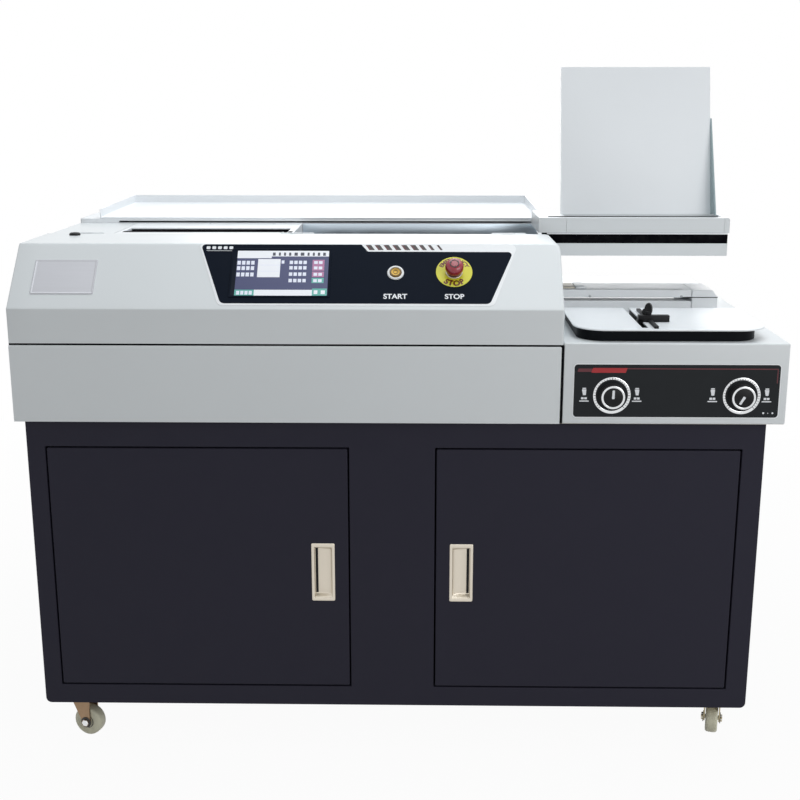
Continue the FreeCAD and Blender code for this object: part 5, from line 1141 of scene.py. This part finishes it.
def pullRim(x0, x1, z0, z1):
    # a bead of rounded rectangles drawn inwards, its ends bowed by 1 - (2u - 1)^2 across the width
    middle, half = (z0 + z1) / 2, (z1 - z0) / 2
    loops = []
    for inset, height in pull["rows"]:
        down = inset * pull["tallShare"]
        loop = roundedRect(x0 + inset, x1 - inset, z0 + down, z1 - down, max(0.0024 - inset * 0.4, 0.0006), 5)
        arch = 1 - (2 * (loop[:, 0] - x0) / (x1 - x0) - 1) ** 2
        up = (loop[:, 1] - middle) / half
        loop[:, 1] += pull["bow"] * ((1 - arch) * np.clip(-up, 0, 1) - arch * np.clip(up, 0, 1))
        loops.append(np.c_[loop, np.full(len(loop), height)])
    return np.vstack(loops), gridFaces(len(loops), len(loops[0]), closed=True)


def pullScoop(x0, x1, z0, z1, deepSide):
    # depth is a quarter ellipse across, sqrt(1 - 0.97 s^2), deepest beside the grip edge,
    # times a smooth step 3e^2 - 2e^3 at both ends
    s = np.concatenate([[0, 0.012], np.linspace(0.03, 0.97, 32), [0.988, 1]])
    t = np.concatenate([[0], np.linspace(0.004, 0.08, 9), np.linspace(0.1, 0.9, 12),
                        np.linspace(0.92, 0.996, 9), [1]])
    ends = np.clip(np.minimum(t, 1 - t) / pull["scoopEnd"], 0, 1)
    ends = ends * ends * (3 - 2 * ends)
    across = np.sqrt(1 - 0.97 * s ** 2) * np.clip(s / 0.012, 0, 1) * np.clip((1 - s) / 0.012, 0, 1)
    inner = pull["rim"] - 0.0003
    start = x1 - inner if deepSide > 0 else x0 + inner
    x = start - deepSide * s * (x1 - x0 - 2 * inner)
    down = inner * pull["tallShare"]
    z = z0 + down + t * (z1 - z0 - 2 * down)
    depth = -pull["depth"] * ends[:, None] * across[None]
    grid = np.stack([np.repeat(x[None], len(t), 0), np.repeat(z[:, None], len(s), 1), depth - 0.0002], -1)
    return thickened(grid, (0, 0, -0.0008))


def buildPull(name, deepSide):
    x0, x1, z0, z1 = pullPlace(name)
    face = boxOf(name)[0][1]
    cup = joined(pullRim(x0, x1, z0, z1), pullScoop(x0, x1, z0, z1, deepSide))
    addPiece(name + "PullCup", onFront(cup, face), metals["champagne"], name,
             [name + "_pull"], smooth=50)
    near, far = pull["slot"]
    a, b = (x1 - far, x1 - near) if deepSide > 0 else (x0 + near, x0 + far)
    # painted shade: a black plate at the foot of the scoop, standing for the shadow inside the grip slot
    outline = roundedRect(a, b, z0 + pull["slotFoot"], z1 - pull["slotTop"], 0.0008, 3)
    addPiece(name + "PullSlotShade", onFront(plateShape(outline, -pull["depth"], 0.0002 - pull["depth"]), face),
             plastics["black"], name)


buildShell()
buildFrame()
for doorName, pullSide in doorSides.items():
    buildDoor(doorName)
    buildPull(doorName, pullSide)
print("cabinet built")


# casters

caster = {
    "tread": mirrored([(0.0118, -0.0105), (0.0135, -0.0108), (0.0215, -0.0108), (0.0245, -0.0102),
                       (0.0262, -0.0086), (0.0269, -0.005), (0.027, 0.0)]),
    "hub": mirrored([(0.0042, -0.0109), (0.0062, -0.0109), (0.0068, -0.0098), (0.0095, -0.0094),
                     (0.0104, -0.0104), (0.0126, -0.0107), (0.0128, -0.0102)]),
    "nut": [(0.0068, 0.0155), (0.0068, 0.0181), (0.0061, 0.0188), (0.0026, 0.0191)],
    "washer": [(0.0099, 0.0143), (0.0099, 0.0153), (0.0093, 0.0157), (0.00325, 0.0157)],
    "forkBevel": 0.0006, "plateBevel": 0.0005,
}


def buildCaster(corner):
    joint = jointOf(corner + "_wheel_spin")
    centre, axis = np.array(joint["pos_m"]), np.array(joint["axis"])
    wheel, fork = corner + "_caster_wheel", corner + "_caster_fork"
    addPiece(corner + "Tread", turned(caster["tread"], centre, axis, 72), plastics["tread"], wheel,
             [wheel])
    addPiece(corner + "Hub", turned(caster["hub"], centre, axis), plastics["hub"], wheel)
    # the front-right fork in a paler copy of the yellow zinc: painted light for the light falling on it
    softened(fork, metals["litPaleZinc" if corner == "front_right" else "warmZinc"], caster["forkBevel"])
    caps = [turned(caster["nut"], centre, axis * side, 6) for side in (-1, 1)]
    washers = [turned(caster["washer"], centre, axis * side, 32) for side in (-1, 1)]
    addPiece(corner + "AxleNuts", joined(*caps), metals["chrome"], rideOf(fork), smooth=30)
    addPiece(corner + "AxleWashers", joined(*washers), plastics["hub"], rideOf(fork))


for cornerName in ("front_left", "front_right", "rear_left", "rear_right"):
    buildCaster(cornerName)
softened("caster_plates", metals["warmZinc"], caster["plateBevel"])
print("casters built")


# carriage, tray, platform and the rest of the solids with softened edges

softEdges = [
    (paints["housing"], "housing_paint", {"carriage_frame": 0.00025, "front_jaw": 0.00025,
                                          "leveling_table": 0.0008}),
    # the side stop in the darker gusset paint: painted shade
    (paints["green"], "housing_paint", {"side_stop": 0.0005}),
    (paints["white"], None, {"backrest_board": 0.0006, "rear_tray": 0.0005, "platform_frame": 0.0004,
                             "crease_table": 0.0006, "rear_deck": 0.0003}),
    (paints["white"], "white_paint", {"front_nip_plate": 0.0004, "creaser_bridge": 0.0008,
                                      "creaser_drive_cover": 0.002}),
    (paints["black"], None, {"crease_table_base": 0.001, "spine_guide": 0.0004, "glue_tank": 0.0008}),
    (metals["aluminium"], None, {"rail_beam": 0.001}),
    (metals["steel"], None, {"first_glue_roller": 0.0006, "second_glue_roller": 0.0006}),
    (plastics["black"], None, {"power_inlet": 0.0005, "power_switch": 0.0005}),
    (metals["zinc"], None, {"control_box": 0.001}),
]


paperStop = {"height": 0.011, "front": 0.06, "thickness": 0.012, "crossbar": (0.0015, 0.0535),
             "blade": (0.0175, 0.0245), "bladeLength": 0.175, "bladeHeight": 0.004, "key": 0.009,
             "keyDrop": 0.006}


def buildPaperStop():
    # crossbar, long blade lying on the plate and the key in its slot
    s = paperStop
    low, high = boxOf("paper_stop")
    x, y, z = low[0], low[1], high[2] - s["height"]
    front, over = y + s["front"], z + s["bladeHeight"]
    rear = front + s["thickness"]
    (bar0, bar1), (blade0, blade1) = s["crossbar"], s["blade"]
    shapes = [softBox((x + bar0, front, z), (x + bar1, rear, high[2]), 0.0009, 3),
              softBox((x + blade0, y, z), (x + blade1, y + s["bladeLength"], over), 0.0007, 3),
              softBox((x, front, z - s["keyDrop"]), (x + s["key"], rear, over), 0.0007, 3)]
    addPiece("paperStop", joined(*shapes), plastics["black"], rideOf("paper_stop"),
             ["paper_stop"])


buildPaperStop()
for material, slotName, widths in softEdges:
    for nodeName, width in widths.items():
        softened(nodeName, material, width)
print("edges softened")


# black rubber strips, most of them painted shade in slots and gaps, slot edges and small fittings on the deck,
# the carriage and the creasing bridge

def buildFittings():
    nipLow, nipHigh = boxOf("front_nip_plate")
    deckHigh = boxOf("platform_frame")[1]
    tableLow, tableHigh = boxOf("leveling_table")
    jawLow, jawHigh = boxOf("front_jaw")
    low, high = boxOf("creaser_bridge")
    coverLow, coverHigh = boxOf("creaser_drive_cover")
    nip, deck, table, jaw = map(rideOf, ("front_nip_plate", "platform_frame", "leveling_table", "front_jaw"))
    slotEdge = {"left": nipLow[0] + 0.0005, "right": -0.2085, "front": -0.0132, "top": 0.8828}
    groove = {"left": -0.5595, "right": 0.264, "front": 0.0821}
    tableLeft, tableRight, tableFront = tableLow[0] + 0.0003, tableHigh[0] - 0.0004, tableLow[1]
    blockFront, blockRear = low[1] + 0.018, low[1] + 0.075
    # each piece: finish, body, slot, and boxes by low corner, high corner, radius and steps
    pieces = {
        # painted shade: a black strip along the nip plate's rear edge, standing for the shadow of the slot
        # behind it
        "nipEdgeShade": (plastics["rubber"], nip, "belt_rubber", [
            ((nipLow[0] + 0.0005, nipHigh[1] - 0.0145, nipHigh[2] - 0.0002),
             (nipHigh[0] - 0.0003, nipHigh[1] - 0.0003, nipHigh[2] + 0.0005), 0.0003, 2)]),
        # painted shade: black liners on the slot's walls and a short strip at its right end, standing for the
        # dark of the slot
        "slotShadeLiners": (plastics["rubber"], deck, "belt_rubber", [
            ((slotEdge["left"], slotEdge["front"], 0.8624), (slotEdge["right"], -0.0126, 0.8826), 0.0002, 1),
            ((slotEdge["left"], slotEdge["front"], 0.8819), (slotEdge["right"], 0.0034, slotEdge["top"]),
             0.0002, 1),
            ((-0.2068, -0.130, deckHigh[2] - 0.0002), (-0.1988, -0.070, deckHigh[2] + 0.0004), 0.0002, 1)]),
        "grooveLips": (paints["white"], "machine", "white_paint", [
            ((groove["left"], groove["front"], 0.8893), (groove["right"], 0.0832, 0.8906), 0.0003, 1),
            ((groove["left"], groove["front"], 0.8846), (groove["right"], 0.0950, 0.8857), 0.0003, 1)]),
        # a black strip behind the table's front edge, filling the band up to the jaw: partly a black part,
        # partly painted shade of the gap
        "tableSealAndShade": (plastics["rubber"], table, "belt_rubber", [
            ((tableLeft, tableFront + 0.0006, tableHigh[2] - 0.0001),
             (tableRight, tableFront + 0.0036, tableHigh[2] + 0.0160), 0.0005, 2)]),
        "tableSealCap": (paints["white"], table, "white_paint", [
            ((tableLeft, tableFront + 0.0002, tableHigh[2] + 0.0162),
             (tableRight, tableFront + 0.0034, tableHigh[2] + 0.0186), 0.0005, 2)]),
        # painted light: a lighter, bluish facing on the channel's rear wall in place of plain aluminium
        "channelLitFacing": (metals["litFacing"], "machine", "machined_aluminium", [
            ((-0.1955, 0.0820, 0.8562), (0.2645, 0.0833, 0.8844), 0.0004, 2)]),
        # a black strip on the jaw's rear top edge: partly a clamp pad, partly painted shade of the throat
        "jawPadAndShade": (plastics["rubber"], jaw, "belt_rubber", [
            ((jawLow[0] + 0.003, jawHigh[1] - 0.0095, jawHigh[2] - 0.0002),
             (0.5785, jawHigh[1] - 0.0015, jawHigh[2] + 0.0008), 0.0003, 2)]),
        # painted shade: a black strip under the bridge's front edge, standing for the shadow of the gap below
        # it
        "bridgeGapShade": (plastics["rubber"], "machine", "belt_rubber", [
            ((0.5235, coverLow[1] - 0.0004, high[2] - 0.0141),
             (coverHigh[0] - 0.0004, coverLow[1] + 0.001, high[2] - 0.0127), 0.0002, 1)]),
        "bridgeBlock": (metals["zinc"], "machine", "zinc_steel", [
            ((low[0] + 0.003, blockFront, high[2] - 0.0002), (0.326, blockRear, high[2] + 0.0022), 0.0008, 3)]),
        "bridgeLug": (paints["white"], "machine", "white_paint", [
            ((0.328, blockFront, high[2] - 0.0002), (0.346, blockRear, high[2] + 0.0034), 0.0012, 3)]),
    }
    for name, (material, body, slot, boxes) in pieces.items():
        addPiece(name, joined(*[softBox(*box) for box in boxes]), material, body)
    screws = [screwShape((x, deckHigh[1] - 0.016, deckHigh[2] - 0.0001), (0, 0, 1), 0.003, 0.0011, 0.5 + 9 * x)
              for x in (-0.4985, -0.3745, -0.250)]
    addPiece("platformScrews", joined(*screws), metals["steel"], deck)
    bolts = [screwShape((x, low[1], high[2] - 0.0115), (0, -1, 0), 0.0026, 0.0012, 0.4)
             for x in (0.352, 0.5217)]
    addPiece("bridgeBolts", joined(*bolts), metals["steel"], "machine")


buildFittings()
print("fittings built")


# wing of the paper stop's clamp screw

wing = {"turn": 60, "lift": 0.0079, "height": 0.0112, "width": 0.0064, "half": 0.0024, "lobeHalf": 0.0022,
        "lobe": (0.0064, 0.004, 0.0052, -0.0040),
        "hub": [(0.003, -0.0079), (0.003, -0.0005), (0.0052, 0.0), (0.0055, 0.0006), (0.0055, 0.0054),
                (0.0048, 0.006)]}


def buildWing():
    # a tall oval and a small side lobe, stood up on the hub and turned about its axis
    low, high = boxOf("clamp_knob")
    centre = np.array(jointOf("clamp_knob_turn")["pos_m"])
    t, turn = fullTurn(40), math.radians(wing["turn"])
    shift, wide, tall, drop = wing["lobe"]
    oval = np.c_[wing["width"] * np.cos(t), wing["height"] * np.sin(t)]
    oval = plateShape(oval, -wing["half"], wing["half"])
    lobe = plateShape(np.c_[shift + wide * np.cos(t), tall * np.sin(t) + drop], -wing["lobeHalf"],
                      wing["lobeHalf"])
    verts, faces = joined(oval, lobe)
    x = centre[0] - verts[:, 0] * math.sin(turn) + verts[:, 2] * math.cos(turn)
    y = centre[1] + verts[:, 0] * math.cos(turn) + verts[:, 2] * math.sin(turn)
    blade = (np.c_[x, y, high[2] - wing["height"] + verts[:, 1]], faces)
    hub = turned(wing["hub"], (centre[0], centre[1], low[2] + wing["lift"]), (0, 0, 1), 32)
    addPiece("clampWing", joined(hub, blade), plastics["black"], "clamp_knob",
             ["clamp_knob"])


buildWing()


# floor, light and camera

studio = {"floorEdge": 40.0, "ambient": 0.3, "ambientColour": (0.97, 0.99, 1.0, 1)}
coolWhite, plainWhite = (0.92, 0.97, 1.0), (1.0, 1.0, 1.0)
# place, aim, width, power, colour
lamps = {
    "overhead": ((0.3, 0.3, 3.6), (0.0, 0.0, 0.8), 3.0, 72.0, coolWhite),
    "frontRight": ((1.7, -2.1, 1.5), (0.3, -0.3, 0.6), 1.6, 19.5, plainWhite),
    "frontLeft": ((-2.4, -2.4, 1.6), (-0.2, -0.3, 0.6), 1.8, 3.0, plainWhite),
    "rear": ((0.2, 2.8, 1.8), (0.0, 0.2, 0.7), 2.4, 20.0, plainWhite),
}
view = {"place": (0.037, -2.3075, 1.1182), "pitch": 13.89, "turn": 0.98, "lens": 54.36}


def seenDirectly(tree):
    # one for rays from the camera, from glossy surfaces and through glass
    path = node(tree, "LightPath")
    value = path.outputs["Is Camera Ray"]
    for name in ("Is Glossy Ray", "Is Transmission Ray"):
        value = sums(tree, "MAXIMUM", value, path.outputs[name])
    return value


def buildFloor():
    # a pale matt floor that fades to white away from the machine, for rays that see it directly
    edge = studio["floorEdge"]
    floorMesh = bpy.data.meshes.new("floor")
    floorMesh.from_pydata([(-edge, -edge, 0), (edge, -edge, 0), (edge, edge, 0), (-edge, edge, 0)], [],
                          [(0, 1, 2, 3)])
    linked("floor", floorMesh)
    material = bpy.data.materials.new("paleFloor")
    material.use_nodes = True
    tree = material.node_tree
    surface = tree.nodes["Principled BSDF"]
    noise = node(tree, "TexNoise", Scale=3.0)
    shade = node(tree, "MapRange", Value=noise.outputs["Fac"], i3=0.6, i4=0.63)
    tree.links.new(shade.outputs[0], surface.inputs["Base Color"])
    surface.inputs["Roughness"].default_value = 0.9
    surface.inputs["Specular IOR Level"].default_value = 0.1
    place = node(tree, "TexCoord")
    away = node(tree, "VectorMath", {"operation": "LENGTH"}, i0=place.outputs["Object"])
    white = node(tree, "MapRange", Value=away.outputs["Value"], i1=0.9, i2=2.4, i3=0.955, i4=1.0)
    share = sums(tree, "MULTIPLY", seenDirectly(tree), white.outputs[0])
    glow = node(tree, "Emission", Strength=1.0)
    mixed = node(tree, "MixShader", i0=share, i1=surface.outputs[0], i2=glow.outputs[0])
    tree.links.new(mixed.outputs[0], tree.nodes["Material Output"].inputs["Surface"])
    floorMesh.materials.append(material)


def buildWorld():
    world = bpy.data.worlds.new("studio")
    bpy.context.scene.world = world
    world.use_nodes = True
    tree = world.node_tree
    tree.nodes.clear()
    ambient = node(tree, "Background", Color=studio["ambientColour"], Strength=studio["ambient"])
    backdrop = node(tree, "Background", Color=(1, 1, 1, 1), Strength=1.0)
    mix = node(tree, "MixShader", i0=seenDirectly(tree), i1=ambient.outputs[0], i2=backdrop.outputs[0])
    node(tree, "OutputWorld", Surface=mix.outputs[0])


def buildLamps():
    for name, (place, aim, width, power, colour) in lamps.items():
        lamp = bpy.data.lights.new(name, "AREA")
        lamp.size, lamp.energy, lamp.color = width, power, colour
        obj = linked(name, lamp)
        obj.location = place
        obj.rotation_euler = (Vector(aim) - Vector(place)).to_track_quat("-Z", "Y").to_euler()


def buildView():
    camera = bpy.data.cameras.new("photoView")
    camera.lens = view["lens"]
    camera.sensor_width = 36.0
    obj = linked("photoView", camera)
    obj.location = view["place"]
    obj.rotation_euler = (math.radians(90 - view["pitch"]), 0, math.radians(view["turn"]))
    bpy.context.scene.camera = obj
    bpy.context.scene.view_settings.view_transform = "Standard"


buildFloor()
buildWorld()
buildLamps()
buildView()
bpy.context.view_layer.update()
print("scene ready")
